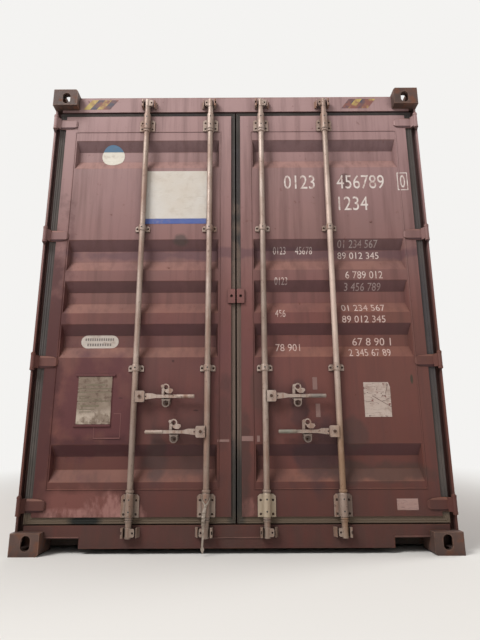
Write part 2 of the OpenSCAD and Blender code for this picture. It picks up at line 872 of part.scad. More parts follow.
// Hinge lugs: two ears on the post for each hinge, with the pin through them
module hinge_lugs() {
    ear_z = blade_h / 2 + lug_gap;
    color("#6e4540") both_sides() from_rear() for (z = hinge_z) translate([0, 0, z]) {
        for (s = [-1, 1]) translate([0, 0, s * (ear_z + lug_t / 2)]) linear_extrude(lug_t, center = true)
            union() {
                translate([pin_x, pin_e]) circle(knuckle_r + 1);
                polygon([
                    [pin_x, pin_e + knuckle_r], [post_out - hook_t, hook_e], [post_out, hook_e],
                    [pin_x + knuckle_r, pin_e]
                ]);
            }
        translate([pin_x, pin_e, -ear_z - lug_t - 3]) cylinder(r = pin_r, h = 2 * (ear_z + lug_t) + 6);
        translate([pin_x, pin_e, ear_z + lug_t]) cylinder(r = pin_r + 3, h = 5);
    }
}

// Hinge blades: bevelled forged straps on the leaf, cranked out to the pin
module hinge_blade() {
    face = leaf_e - pin_e - blade_t;
    half = blade_h / 2;
    crank = [[0, -knuckle_r], [13, 0], [28, face], [blade_l - 9, face],
        [blade_l, face + 7], [blade_l, face + blade_t], [20, face + blade_t], [-5, 12]];
    difference() {
        intersection() {
            linear_extrude(blade_h, center = true) mirror([1, 0]) union() {
                polygon(crank);
                circle(knuckle_r);
            }
            translate([0, -knuckle_r - over, 0]) along_y(leaf_e) polygon([
                [knuckle_r, -half], [knuckle_r, half], [-blade_full, half], [-blade_l * 0.78, half * 0.84],
                [-blade_l * 0.95, half * 0.6], [-blade_l, half * 0.4], [-blade_l, -half * 0.4],
                [-blade_l * 0.95, -half * 0.6], [-blade_l * 0.78, -half * 0.84], [-blade_full, -half]
            ]);
        }
        for (s = [0, 1]) mirror([0, 0, s]) translate([-blade_l - over, 0, 0]) along_x(blade_l - 26) polygon([
            [face - over, half - blade_bevel - over], [face + blade_t, half], [face + blade_t, half + over],
            [face - over, half + over]
        ]);
        cylinder(r = pin_r + pin_gap, h = blade_h + 2 * over, center = true);
    }
}

module hinge_blades() {
    color("#7a5248") from_rear() for (z = hinge_z) translate([pin_x, pin_e, z]) hinge_blade();
}

// Leaf frame: two upright tubes with a channel across the top and the bottom
module stile(x) {
    translate([x, leaf_e, leaf_low]) linear_extrude(leaf_top - leaf_low) difference() {
        square([stile_w, leaf_t]);
        translate([leaf_wall, leaf_wall]) square([stile_w - 2 * leaf_wall, leaf_t - 2 * leaf_wall]);
    }
}

module leaf_member(z, h) {
    translate([panel_in, leaf_e, z]) along_x(panel_out - panel_in) difference() {
        square([leaf_t, h]);
        translate([leaf_wall, leaf_wall]) square([leaf_t, h - 2 * leaf_wall]);
    }
}

module door_frame() {
    color("#6e4540") from_rear() union() {
        stile(leaf_mid);
        stile(panel_out);
        leaf_member(leaf_low, bottom_member);
        leaf_member(panel_top, top_member);
    }
}

// Pressed recess: its volume, grown by t for the inner face of the sheet
module recess(z, t) {
    slope = (recess_h - recess_flat) / 2;
    c = t * tan(atan2(recess_d, slope) / 2);
    ce = t * tan(atan2(recess_d, recess_end) / 2);
    x0 = panel_in + recess_margin;
    x1 = panel_out - recess_margin;
    k = over / recess_d;
    intersection() {
        translate([x0 - 60, leaf_e, z]) along_x(x1 - x0 + 120) polygon([
            [-over, -recess_h / 2 - c - slope * k], [recess_d + t, -recess_flat / 2 - c + slope * t / recess_d],
            [recess_d + t, recess_flat / 2 + c - slope * t / recess_d], [-over, recess_h / 2 + c + slope * k]
        ]);
        translate([0, leaf_e, z - recess_h]) linear_extrude(2 * recess_h) polygon([
            [x0 - ce - recess_end * k, -over], [x1 + ce + recess_end * k, -over],
            [x1 - recess_end + ce, recess_d + t], [x0 + recess_end - ce, recess_d + t]
        ]);
    }
}

// Door panel: one sheet with five pressed recesses
module door_panel() {
    color("#7a4c44") from_rear() difference() {
        union() {
            block([panel_in, leaf_e, panel_low], [panel_out, leaf_e + panel_t, panel_top]);
            intersection() {
                for (z = recess_z) recess(z, panel_t);
                block([panel_in, leaf_e, panel_low], [panel_out, leaf_in_e, panel_top]);
            }
        }
        for (z = recess_z) recess(z, 0);
    }
}

// Door seal: a foot round the edge of the leaf with a lip that closes on the frame
module seal_ring(x0, x1, z0, z1, e0, e1, hole) {
    translate([0, e0, 0]) along_y(e1 - e0) difference() {
        translate([x0, z0]) square([x1 - x0, z1 - z0]);
        translate([leaf_mid - hole, leaf_low - hole])
            square([leaf_out - leaf_mid + 2 * hole, leaf_top - leaf_low + 2 * hole]);
    }
}

module door_seal() {
    color("#55504a") from_rear() union() {
        seal_ring(4, seal_out, sill_top + seal_gap, header_low - seal_gap, seal_e0, seal_e0 + seal_t, 0);
        seal_ring(leaf_mid - seal_foot, leaf_out + seal_foot, leaf_low - seal_foot, leaf_top + seal_foot,
            leaf_e + 8, seal_e0 + seal_t, 0);
    }
}

// Wings: a plate with cut corners and two or four bolt holes, standing on its lower edge
module wing_plate(w, h, cut, bolts) {
    translate([0, leaf_e - rod_e - wing_t, 0]) along_y(wing_t) difference() {
        polygon([
            [-w / 2, 0], [w / 2, 0], [w / 2, h - cut], [w / 2 - cut, h], [cut - w / 2, h], [-w / 2, h - cut]
        ]);
        for (x = [-bolt_x, bolt_x]) for (z = bolts) translate([x, z]) circle(d = bolt_hole);
    }
}

// Bearing body: a sleeve round the rod with bevelled ends and a square back on the leaf
module sleeve(h) {
    b = housing_bevel;
    translate([0, 0, b]) cylinder(r = housing_r, h = h - 2 * b);
    for (z = [0, 1]) translate([0, 0, z * h]) mirror([0, 0, z])
        cylinder(r1 = housing_r - b / 2, r2 = housing_r, h = b);
    translate([-housing_r, 0, b]) cube([2 * housing_r, leaf_e - rod_e, h - 2 * b]);
}

// Bearings of the locking rods: a tall housing at each end, and two saddle clamps between them
module bearing(z, h, drains) {
    translate([0, rod_e, z]) difference() {
        union() {
            sleeve(h);
            children();
        }
        translate([0, 0, -over]) cylinder(r = rod_r + rod_gap, h = h + 2 * over);
        for (k = drains) translate([0, -housing_r - over, k * h]) along_y(housing_r - rod_r + 2 * over)
            circle(d = drain_hole);
    }
}

module rod_brackets(rods) {
    color("#9a8a7e") from_rear() for (x = rods) translate([x, 0, 0]) {
        bearing(leaf_low, housing_low_h, [0.25, 0.75])
            wing_plate(wing_w, wing_low_h, wing_cut, [wing_low_h * 0.13, wing_low_h * 0.74]);
        bearing(leaf_top - 2 - housing_top_h, housing_top_h, [0.25, 0.75])
            wing_plate(wing_w, wing_top_h, wing_cut, [wing_top_h * 0.2, wing_top_h * 0.72]);
        for (s = [-1, 1]) bearing(leaf_z + s * saddle_z - saddle_h / 2, saddle_h, [0.5])
            translate([0, 0, 2]) wing_plate(saddle_w, saddle_h - 4, saddle_cut, [saddle_h / 2 - 2]);
    }
}

// Handle cradles: a plate with a shelf under the bar, a hanging loop, and a post for the catch
module round_tab(w, h) {
    translate([-w / 2, 0]) square([w, h - w / 2]);
    translate([0, h - w / 2]) circle(d = w);
}

module cradle(i) {
    shelf = -bar_grip / 2 - cradle_gap;
    post_e = bar_e + bar_t + cradle_gap;
    translate([rod_x[i] + rod_side[i] * catch_x, 0, rod_handle[i]]) union() {
        translate([0, leaf_e - cradle_t, shelf - cradle_drop]) along_y(cradle_t) union() {
            translate([-cradle_w / 2, cradle_w / 2])
                square([cradle_w, pivot_up - shelf + cradle_drop - cradle_w / 2]);
            translate([0, cradle_w / 2]) circle(cradle_w / 2);
            translate([-pivot_x, pivot_up - shelf + cradle_drop]) circle(boss_r);
        }
        translate([-pivot_x, post_e, 0]) along_y(leaf_e - post_e) union() {
            translate([-7, shelf]) square([14, pivot_up - shelf]);
            translate([0, pivot_up]) circle(7);
        }
        translate([-pivot_x, catch_e - 2, pivot_up]) along_y(post_e - catch_e + 2) circle(pivot_r);
        translate([-pivot_x, catch_e - 2, pivot_up]) along_y(1.7) circle(pivot_r + 3);
        translate([-cradle_w / 2, bar_e, shelf - cradle_t])
            cube([cradle_w, leaf_e - bar_e, cradle_t]);
        translate([0, bar_e, shelf]) along_y(cradle_t) mirror([0, 1]) difference() {
            round_tab(loop_w, loop_drop);
            translate([0, 2 * loop_t]) round_tab(loop_w - 2 * loop_t, loop_drop - 3 * loop_t);
        }
    }
}

module handle_cradles(first) {
    color("#9a8a7e") from_rear() for (i = [first, first + 1]) cradle(i);
}

// Centre lock plate: a thick pad on the inner edge of each leaf
module lock_plate() {
    color("#6e4540") from_rear() translate([5, leaf_e - lock_plate_t, leaf_z - lock_plate_h / 2])
        along_y(lock_plate_t) difference() {
            square([lock_plate_w, lock_plate_h]);
            translate([lock_plate_w / 2, lock_plate_h / 2]) circle(d = 18);
        }
}

// Locking rods: a tube with an eared cam at each end, rings, and the hub of its handle
module cam(side) {
    difference() {
        union() {
            cylinder(r = cam_r, h = cam_h);
            mirror([side < 0 ? 1 : 0, 0, 0]) translate([0, 3 - cam_r, (cam_h - ear_h) / 2]) along_y(ear_t) union() {
                square([cam_reach - 8, ear_h]);
                translate([0, 8]) square([cam_reach, ear_h - 16]);
                for (z = [8, ear_h - 8]) translate([cam_reach - 8, z]) circle(8);
            }
        }
        translate([side * (cam_reach - 4 - ear_hole / 2), -cam_r - over, cam_h / 2]) along_y(ear_t + 6)
            circle(d = ear_hole);
    }
}

module hub_plate() {
    translate([hub_in, -hub_h / 2]) square([hub_x - hub_in - hub_round, hub_h]);
    translate([hub_in, hub_round - hub_h / 2]) square([hub_x - hub_in, hub_h - 2 * hub_round]);
    for (s = [-1, 1]) translate([hub_x - hub_round, s * (hub_h / 2 - hub_round)]) circle(hub_round);
}

module rod(i) {
    side = rod_side[i];
    plate_e = bar_e - hub_gap - hub_t - rod_e;
    back_e = bar_e + bar_t + hub_gap - rod_e;
    color("#a89a8c") from_rear() translate([rod_x[i], rod_e, 0]) {
        translate([0, 0, rod_low]) cylinder(r = rod_r, h = rod_top - rod_low);
        translate([0, 0, rod_low + 5]) cam(side);
        translate([0, 0, rod_top - 5 - cam_h]) cam(side);
        for (k = [1, 2]) translate([0, 0, leaf_low - collar_gap - (2 * k - 1) * ring_h])
            cylinder(r = rod_r + 4, h = ring_h);
        translate([0, 0, leaf_low + housing_low_h + collar_gap])
            cylinder(r1 = rod_r + 4, r2 = rod_r, h = collar_h);
        translate([0, 0, rod_handle[i]]) mirror([side < 0 ? 1 : 0, 0, 0]) {
            for (e = [plate_e, back_e]) translate([0, e, 0]) along_y(hub_t) hub_plate();
            translate([hub_in, plate_e, -hub_h / 2]) cube([hub_t, -plate_e, hub_h]);
            translate([rivet_x, plate_e, 0]) along_y(back_e - plate_e) circle(rivet_r);
            translate([rivet_x, plate_e - 3, 0]) along_y(3) circle(rivet_r + 4);
        }
    }
}

// Handles: a flat bar with an eye on the rivet of its hub, a neck and a round grip
module handle(i) {
    side = rod_side[i];
    root = bar_root / 2;
    neck = bar_neck / 2;
    grip_x = bar_l - grip_l;
    color("#b0a294") from_rear() translate([rod_x[i], bar_e, rod_handle[i]])
        mirror([side < 0 ? 1 : 0, 0, 0]) union() {
            along_y(bar_t) difference() {
                union() {
                    translate([rivet_x, 0]) circle(root);
                    polygon([
                        [rivet_x, -root], [rivet_x + root_low, -root], [rivet_x + neck_x, -neck],
                        [grip_x + 20, -neck], [grip_x + 20, neck], [rivet_x + neck_x, neck],
                        [rivet_x + root_top, root], [rivet_x, root]
                    ]);
                }
                translate([rivet_x, 0]) circle(rivet_r + rivet_gap);
                translate([rivet_x + root_low, 0]) circle(d = bar_hole);
            }
            translate([grip_x, bar_t / 2, 0]) rotate([0, 90, 0]) {
                cylinder(d1 = bar_grip - 8, d2 = bar_grip, h = 6);
                translate([0, 0, 6]) cylinder(d = bar_grip, h = grip_l - 10);
                translate([0, 0, grip_l - 4]) cylinder(d1 = bar_grip, d2 = bar_grip - 6, h = 4);
            }
        }
}

// Catches: a ring with a boss on the pivot, and an angular tail down to the handle's top edge
module catch(i) {
    tail = pivot_up - bar_grip / 2 - cradle_gap;
    color("#b8aca0") from_rear()
        translate([rod_x[i] + rod_side[i] * catch_x - pivot_x, catch_e, rod_handle[i] + pivot_up])
            difference() {
                union() {
                    along_y(catch_t) circle(boss_r);
                    translate([pivot_x, 0, -ring_drop]) along_y(catch_t) circle(catch_r);
                    along_y(catch_t) polygon([
                        [pivot_x - 8, -ring_drop - catch_r + 4], [pivot_x + 8, -ring_drop - catch_r + 4],
                        [pivot_x + 18, -ring_drop - 6], [pivot_x + 38, -ring_drop - 10],
                        [pivot_x + 42, -tail + 14], [pivot_x + 30, -tail], [pivot_x + 10, -tail],
                        [pivot_x - 4, -tail + 8]
                    ]);
                }
                translate([pivot_x, -over, -ring_drop]) along_y(catch_t + 2 * over) circle(catch_hole);
                translate([0, -over, 0]) along_y(catch_t + 2 * over) circle(pivot_r + rivet_gap);
            }
}

// Cam keepers: for each cam a plain horn beside its ear and a notched claw on its other side
module horn() {
    translate([horn_clear, 0]) union() {
        translate([0, horn_tip + horn_t / 2]) square([horn_t, face_e - horn_tip - horn_t / 2]);
        translate([horn_t / 2, horn_tip + horn_t / 2]) circle(horn_t / 2);
        polygon([[horn_t, face_e - 18], [horn_t + 10, face_e], [horn_t, face_e]]);
    }
}

module claw() {
    difference() {
        linear_extrude(cam_h) translate([-claw_clear - claw_t, 0]) union() {
            translate([0, claw_tip + 5]) square([claw_t, face_e - claw_tip - 5]);
            translate([5, claw_tip]) square([claw_t - 10, 6]);
            for (x = [5, claw_t - 5]) translate([x, claw_tip + 5]) circle(5);
        }
        block(
            [-claw_clear - claw_t - over, claw_tip - over, (cam_h - claw_notch) / 2],
            [-claw_clear - 5, claw_tip + 22, (cam_h + claw_notch) / 2]
        );
    }
}

module cam_keepers() {
    color("#7a6a60") from_rear() for (i = [0:3]) for (z = [rod_low + 5, rod_top - 5 - cam_h])
        translate([rod_x[i], 0, z]) mirror([rod_side[i] < 0 ? 1 : 0, 0, 0]) {
            linear_extrude(cam_h) horn();
            claw();
        }
}

module left_door_frame() mirror([1, 0, 0]) door_frame();
module left_door_panel() mirror([1, 0, 0]) door_panel();
module left_door_seal() mirror([1, 0, 0]) door_seal();
module left_hinge_blades() mirror([1, 0, 0]) hinge_blades();
module left_rod_brackets() rod_brackets([rod_x[0], rod_x[1]]);
module left_handle_cradles() handle_cradles(0);
module left_lock_plate() mirror([1, 0, 0]) lock_plate();

bottom_corner_castings();
top_corner_castings();
rear_corner_posts();
front_corner_posts();
door_header();
door_sill();
threshold_plate();
front_top_rail();
front_bottom_rail();
top_side_rails();
bottom_side_rails();
left_side_wall();
right_side_wall();
front_wall();
roof_sheet();
roof_end_plates();
side_vents();
cross_members();
gooseneck_tunnel();
plywood_floor();
floor_centre_rail();
hinge_lugs();
cam_keepers();
left_door_frame();
left_door_panel();
left_door_seal();
left_hinge_blades();
left_rod_brackets();
left_handle_cradles();
left_lock_plate();
door_frame();  // right_door_frame
door_panel();  // right_door_panel
door_seal();  // right_door_seal
hinge_blades();  // right_hinge_blades
rod_brackets([rod_x[2], rod_x[3]]);  // right_rod_brackets
handle_cradles(2);  // right_handle_cradles
lock_plate();  // right_lock_plate
rod(0);  // left_outer_rod
rod(1);  // left_inner_rod
rod(2);  // right_inner_rod
rod(3);  // right_outer_rod
handle(0);  // left_outer_handle
handle(1);  // left_inner_handle
handle(2);  // right_inner_handle
handle(3);  // right_outer_handle
catch(0);  // left_outer_catch
catch(1);  // left_inner_catch
catch(2);  // right_inner_catch
catch(3);  // right_outer_catch
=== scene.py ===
"""A 40 ft high-cube shipping container: its finishes, marks, plates, bolts, welds and seal lips."""

import math

import bmesh
import bpy
from mathutils import Matrix, Vector
from mathutils.bvhtree import BVHTree


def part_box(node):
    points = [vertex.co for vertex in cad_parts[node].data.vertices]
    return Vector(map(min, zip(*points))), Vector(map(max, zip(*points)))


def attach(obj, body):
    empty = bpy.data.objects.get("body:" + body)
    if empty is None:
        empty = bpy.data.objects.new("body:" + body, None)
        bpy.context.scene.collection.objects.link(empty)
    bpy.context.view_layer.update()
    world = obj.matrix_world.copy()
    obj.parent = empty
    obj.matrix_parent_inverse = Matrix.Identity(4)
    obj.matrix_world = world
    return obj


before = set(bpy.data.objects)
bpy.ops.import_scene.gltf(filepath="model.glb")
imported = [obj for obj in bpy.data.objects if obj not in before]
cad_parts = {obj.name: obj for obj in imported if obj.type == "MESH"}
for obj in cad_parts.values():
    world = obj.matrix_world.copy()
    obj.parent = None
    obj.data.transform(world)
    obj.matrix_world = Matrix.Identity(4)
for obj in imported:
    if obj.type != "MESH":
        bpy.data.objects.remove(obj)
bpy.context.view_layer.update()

# Camera
# A hand-held wide view from low in front of the doors, looking up a little. The focal length is given in
# pixels of the picture, and the eye in metres.
PHOTO_W, PHOTO_H = 480, 640
FOCAL_PIXELS, SENSOR = 500.35, 36.0
EYE = Vector((0.0284, -8.9745, 0.5709))
LOOK_UP, LOOK_LEFT, TILT = 14.096, 0.091, -0.244


def new_object(name, data):
    """A new object at the origin of the scene."""
    made = bpy.data.objects.new(name, data)
    bpy.context.scene.collection.objects.link(made)
    return made


camera = new_object("camera", bpy.data.cameras.new("camera"))
camera.data.sensor_width = SENSOR
camera.data.lens = FOCAL_PIXELS / max(PHOTO_W, PHOTO_H) * SENSOR
turn = (
    Matrix.Rotation(math.radians(LOOK_LEFT), 4, "Z")
    @ Matrix.Rotation(math.radians(90 + LOOK_UP), 4, "X")
    @ Matrix.Rotation(math.radians(TILT), 4, "Z")
)
camera.matrix_world = Matrix.Translation(EYE) @ turn
bpy.context.scene.camera = camera
bpy.context.scene.view_settings.view_transform = "Standard"


# Studio
# A pale floor that fades to a white surround, soft light from above and a low fill at the doors.
def linear(colour):
    """An sRGB hex colour as linear red, green, blue and alpha."""
    parts = [int(colour[k:k + 2], 16) / 255 for k in (1, 3, 5)]
    return [c / 12.92 if c <= 0.04045 else ((c + 0.055) / 1.055) ** 2.4 for c in parts] + [1.0]


def add(tree, kind, inputs=None, **settings):
    """Adds a node with its settings; an input is given a value, or a socket to be linked to."""
    node = tree.nodes.new(kind)
    for name, value in settings.items():
        setattr(node, name, value)
    for name, value in (inputs or {}).items():
        if isinstance(value, bpy.types.NodeSocket):
            tree.links.new(value, node.inputs[name])
        else:
            node.inputs[name].default_value = value
    return node


FLOOR_REACH, FOOTPRINT, FADE_START, FADE_END = 120.0, (1.2, 6.1, 0), 0.6, 5.0
SURROUND = "#F4F3F1"

floor_mesh = bmesh.new()
bmesh.ops.create_circle(floor_mesh, cap_ends=True, segments=96, radius=FLOOR_REACH)
floor = new_object("floor", bpy.data.meshes.new("floor"))
floor_mesh.to_mesh(floor.data)
floor_mesh.free()

pale = bpy.data.materials.new("pale studio floor")
pale.use_nodes = True
tree = pale.node_tree
tree.nodes.clear()
place = add(tree, "ShaderNodeTexCoord").outputs["Object"]
beside = add(tree, "ShaderNodeVectorMath", {0: place}, operation="ABSOLUTE").outputs[0]
beside = add(tree, "ShaderNodeVectorMath", {0: beside, 1: FOOTPRINT}, operation="SUBTRACT").outputs[0]
beside = add(tree, "ShaderNodeVectorMath", {0: beside, 1: (0, 0, 0)}, operation="MAXIMUM").outputs[0]
far = add(tree, "ShaderNodeVectorMath", {0: beside}, operation="LENGTH").outputs["Value"]
fade = add(tree, "ShaderNodeMapRange", {
    "Value": far, "From Min": FADE_START, "From Max": FADE_END}, interpolation_type="SMOOTHSTEP")
near = add(tree, "ShaderNodeBsdfDiffuse", {"Color": linear("#DAD7D2")})
white = add(tree, "ShaderNodeEmission", {"Color": linear(SURROUND), "Strength": 1.0})
mixed = add(tree, "ShaderNodeMixShader", {0: fade.outputs[0], 1: near.outputs[0], 2: white.outputs[0]})
add(tree, "ShaderNodeOutputMaterial", {"Surface": mixed.outputs[0]})
floor.data.materials.append(pale)

WORLD_LIGHT = 0.45
world = bpy.data.worlds.new("studio")
bpy.context.scene.world = world
world.use_nodes = True
tree = world.node_tree
tree.nodes.clear()
rays = add(tree, "ShaderNodeLightPath").outputs
seen = add(tree, "ShaderNodeMath", {0: rays["Is Camera Ray"], 1: rays["Is Glossy Ray"]}, operation="MAXIMUM")
seen = add(tree, "ShaderNodeMath", {0: seen.outputs[0], 1: rays["Is Transmission Ray"]}, operation="MAXIMUM")
soft = add(tree, "ShaderNodeBackground", {"Color": linear("#FFFFFF"), "Strength": WORLD_LIGHT})
shown = add(tree, "ShaderNodeBackground", {"Color": linear(SURROUND), "Strength": 1.0})
mixed = add(tree, "ShaderNodeMixShader", {0: seen.outputs[0], 1: soft.outputs[0], 2: shown.outputs[0]})
add(tree, "ShaderNodeOutputWorld", {"Surface": mixed.outputs[0]})


def lamp(name, at, towards, size, watts):
    """A square soft box at one point that faces another."""
    light = new_object(name, bpy.data.lights.new(name, "AREA"))
    light.data.shape = "SQUARE"
    light.data.size = size
    light.data.energy = watts
    aim = (Vector(towards) - Vector(at)).to_track_quat("-Z", "Y").to_matrix().to_4x4()
    light.matrix_world = Matrix.Translation(at) @ aim


lamp("top_light", (-8.0, -13.5, 11.5), (0, -6.1, 2.0), 6.0, 2050)
lamp("side_light", (9.0, -3.0, 8.0), (0, 0, 1.3), 5.0, 600)
lamp("back_light", (-6.0, 13.0, 8.0), (0, 3.0, 1.3), 5.0, 800)


# Oxide red paint
# Alkyd paint sprayed on weathering steel: matt with age, chalky in patches, dusty where it faces up, rust at
# edges and chips. Painted light makes it lighter towards the top, and painted shade makes it darker towards
# the foot, on faces that look down and in inner corners. Every red piece of frame, walls, roof and doors has
# it.
def surface(name, metallic=0.0, specular=0.5):
    """A new material: itself, its shader and the place in the object's own frame."""
    material = bpy.data.materials.new(name)
    material.use_nodes = True
    shader = material.node_tree.nodes["Principled BSDF"]
    shader.inputs["Metallic"].default_value = metallic
    shader.inputs["Specular IOR Level"].default_value = specular
    return material, shader, add(material.node_tree, "ShaderNodeTexCoord").outputs["Object"]


def spots(place, size, level, soft, stretch=(1, 1, 1), shift=(0, 0, 0)):
    """Irregular spots, about size metres across, where a noise is over level."""
    tree = place.id_data
    moved = add(tree, "ShaderNodeMapping", {"Vector": place, "Scale": stretch, "Location": shift})
    noise = add(tree, "ShaderNodeTexNoise", {
        "Vector": moved.outputs[0], "Scale": 0.5 / size, "Detail": 5.0, "Roughness": 0.62})
    return add(tree, "ShaderNodeMapRange", {
        "Value": noise.outputs[0], "From Min": level - soft, "From Max": level + soft}).outputs[0]


def both(one, other):
    """Where two masks hold together."""
    return add(one.id_data, "ShaderNodeMath", {0: one, 1: other}, operation="MULTIPLY").outputs[0]


def edges(place, width):
    """The worn outer edges of a shape, about width metres wide."""
    tree = place.id_data
    turned = add(tree, "ShaderNodeBevel", {"Radius": width}, samples=4).outputs[0]
    normal = add(tree, "ShaderNodeNewGeometry").outputs["Normal"]
    along = add(tree, "ShaderNodeVectorMath", {0: turned, 1: normal}, operation="DOT_PRODUCT")
    return add(tree, "ShaderNodeMapRange", {
        "Value": along.outputs["Value"], "From Min": 0.96, "From Max": 0.82}).outputs[0]


def corners(place, reach):
    """Inner corners, up to reach metres from them, found by ambient occlusion: the mask for painted shade."""
    hidden = add(place.id_data, "ShaderNodeAmbientOcclusion", {"Distance": reach}, samples=6)
    return add(place.id_data, "ShaderNodeMapRange", {
        "Value": hidden.outputs["AO"], "From Min": 0.85, "From Max": 0.3}).outputs[0]


def rise(vector, start, end, axis="Z"):
    """Rises from 0 to 1 as one part of a vector goes from start to end, which may lie below it."""
    part = add(vector.id_data, "ShaderNodeSeparateXYZ", {0: vector}).outputs[axis]
    return add(vector.id_data, "ShaderNodeMapRange", {
        "Value": part, "From Min": start, "From Max": end}).outputs[0]


def facing(place, start, end):
    """Rises from 0 to 1 as faces turn from start to end: at 1 they face the sky, at -1 the ground."""
    return rise(place.node.outputs["Normal"], start, end)


def area(place, centre, half, ragged=0.6, grain=0.07, soft=0.25):
    """An area round centre, half as large each way as half says, with a ragged edge."""
    tree = place.id_data
    from_centre = add(tree, "ShaderNodeVectorMath", {0: place, 1: centre}, operation="SUBTRACT")
    scaled = add(tree, "ShaderNodeVectorMath", {0: from_centre.outputs[0], 1: half}, operation="DIVIDE")
    distance = add(tree, "ShaderNodeVectorMath", {0: scaled.outputs[0]}, operation="LENGTH")
    noise = add(tree, "ShaderNodeTexNoise", {"Vector": place, "Scale": 0.5 / grain, "Detail": 4.0})
    edge = add(tree, "ShaderNodeMath", {
        0: noise.outputs[0], 1: ragged * 4, 2: distance.outputs["Value"]}, operation="MULTIPLY_ADD")
    middle = 1 + ragged * 2
    return add(tree, "ShaderNodeMapRange", {
        "Value": edge.outputs[0], "From Min": middle + soft, "From Max": middle - soft}).outputs[0]


def lay(shader, layers):
    """Colour and roughness, from the first layer up: each has both, its mask and perhaps its strength."""
    tree = shader.id_data
    colour, rough = linear(layers[0][0]), layers[0][1]
    for over, over_rough, mask, *strength in layers[1:]:
        if strength:
            mask = both(mask, strength[0])
        colour = add(tree, "ShaderNodeMix", {
            0: mask, 6: colour, 7: linear(over)}, data_type="RGBA").outputs[2]
        rough = add(tree, "ShaderNodeMix", {0: mask, 2: rough, 3: over_rough}).outputs[0]
    tree.links.new(colour, shader.inputs["Base Color"])
    tree.links.new(rough, shader.inputs["Roughness"])


def emboss(shader, reliefs):
    """Bumps on bumps: each has a height mask and its depth in metres."""
    normal = None
    for height, depth in reliefs:
        inputs = {"Height": height, "Distance": depth}
        if normal:
            inputs["Normal"] = normal
        normal = add(shader.id_data, "ShaderNodeBump", inputs).outputs[0]
    shader.id_data.links.new(normal, shader.inputs["Normal"])


def red_paint(name, base, faded, rust=0.8, marks=()):
    """Oxide red paint, with marks on it that marks_at lists; rust is how much of it the edges have."""
    material, shader, place = surface(name, specular=0.35)
    streaks = spots(place, 0.035, 0.56, 0.1, stretch=(1, 1, 0.06))
    broad = spots(place, 0.5, 0.5, 0.16)
    purple = spots(place, 0.7, 0.53, 0.12, shift=(3, 1, 7))
    olive = spots(place, 0.4, 0.55, 0.1, shift=(5, 2, 1))
    chips = spots(place, 0.022, 0.735, 0.02)
    halo = spots(place, 0.022, 0.69, 0.05)
    crust = spots(place, 0.006, 0.5, 0.1)
    rusty = both(edges(place, 0.006), spots(place, 0.05, 0.5, 0.1))
    dust = both(facing(place, 0.1, 0.6), spots(place, 0.3, 0.42, 0.2))
    splashed = both(rise(place, 0.45, 0.12), spots(place, 0.05, 0.45, 0.15, (1, 1, 0.3)))
    layers = [
        (base, 0.55),
        (faded, 0.62, broad, 0.75),
        ("#5F3A3F", 0.55, purple, 0.5),
        ("#5F4137", 0.6, olive, 0.5),
        # Painted light: lighter towards the top
        ("#AE908E", 0.7, rise(place, 1.35, 2.8), 0.72),
        # Painted shade: darker towards the foot
        ("#47190F", 0.65, rise(place, 1.4, 0.2), 0.66),
        ("#A4735F", 0.75, dust, 0.45),
        # Painted shade on faces that look down
        ("#38202A", 0.7, facing(place, -0.1, -0.6), 0.7),
        ("#4A302D", 0.7, streaks, 0.4),
        # Painted shade in inner corners
        ("#3B2725", 0.8, corners(place, 0.13), 0.7),
        ("#40302A", 0.85, splashed, 0.55),
    ]
    for colour, rough, centre, half, strength, *grain in marks:
        mask = area(place, centre, half)
        if grain:
            mask = both(mask, spots(place, grain[0], 0.5, 0.08, stretch=(1, 1, 0.45)))
        layers.append((colour, rough, mask, strength))
    layers += [
        ("#5B2F22", 0.8, halo, 0.5),
        ("#3E2620", 0.9, chips, 0.85),
        ("#74482F", 0.85, rusty, rust),
    ]
    lay(shader, layers)
    # Dents about 230 mm across, and orange peel about 2 mm across
    dents, peel = [add(shader.id_data, "ShaderNodeTexNoise", {
        "Vector": place, "Scale": scale, "Detail": 2.0}).outputs[0] for scale in (2.2, 260.0)]
    emboss(shader, [(dents, 0.012), (peel, 0.0006), (both(chips, crust), 0.0012)])
    return material


def marks_at(y, half_y, *rows):
    """Marks at one depth. A row has colour, roughness, place across, height, half width, half height and
    strength, and for a speckled mark the size of its spots."""
    return [(colour, rough, (x, y, z), (half_x, half_y, half_z), *rest)
            for colour, rough, x, z, half_x, half_z, *rest in rows]


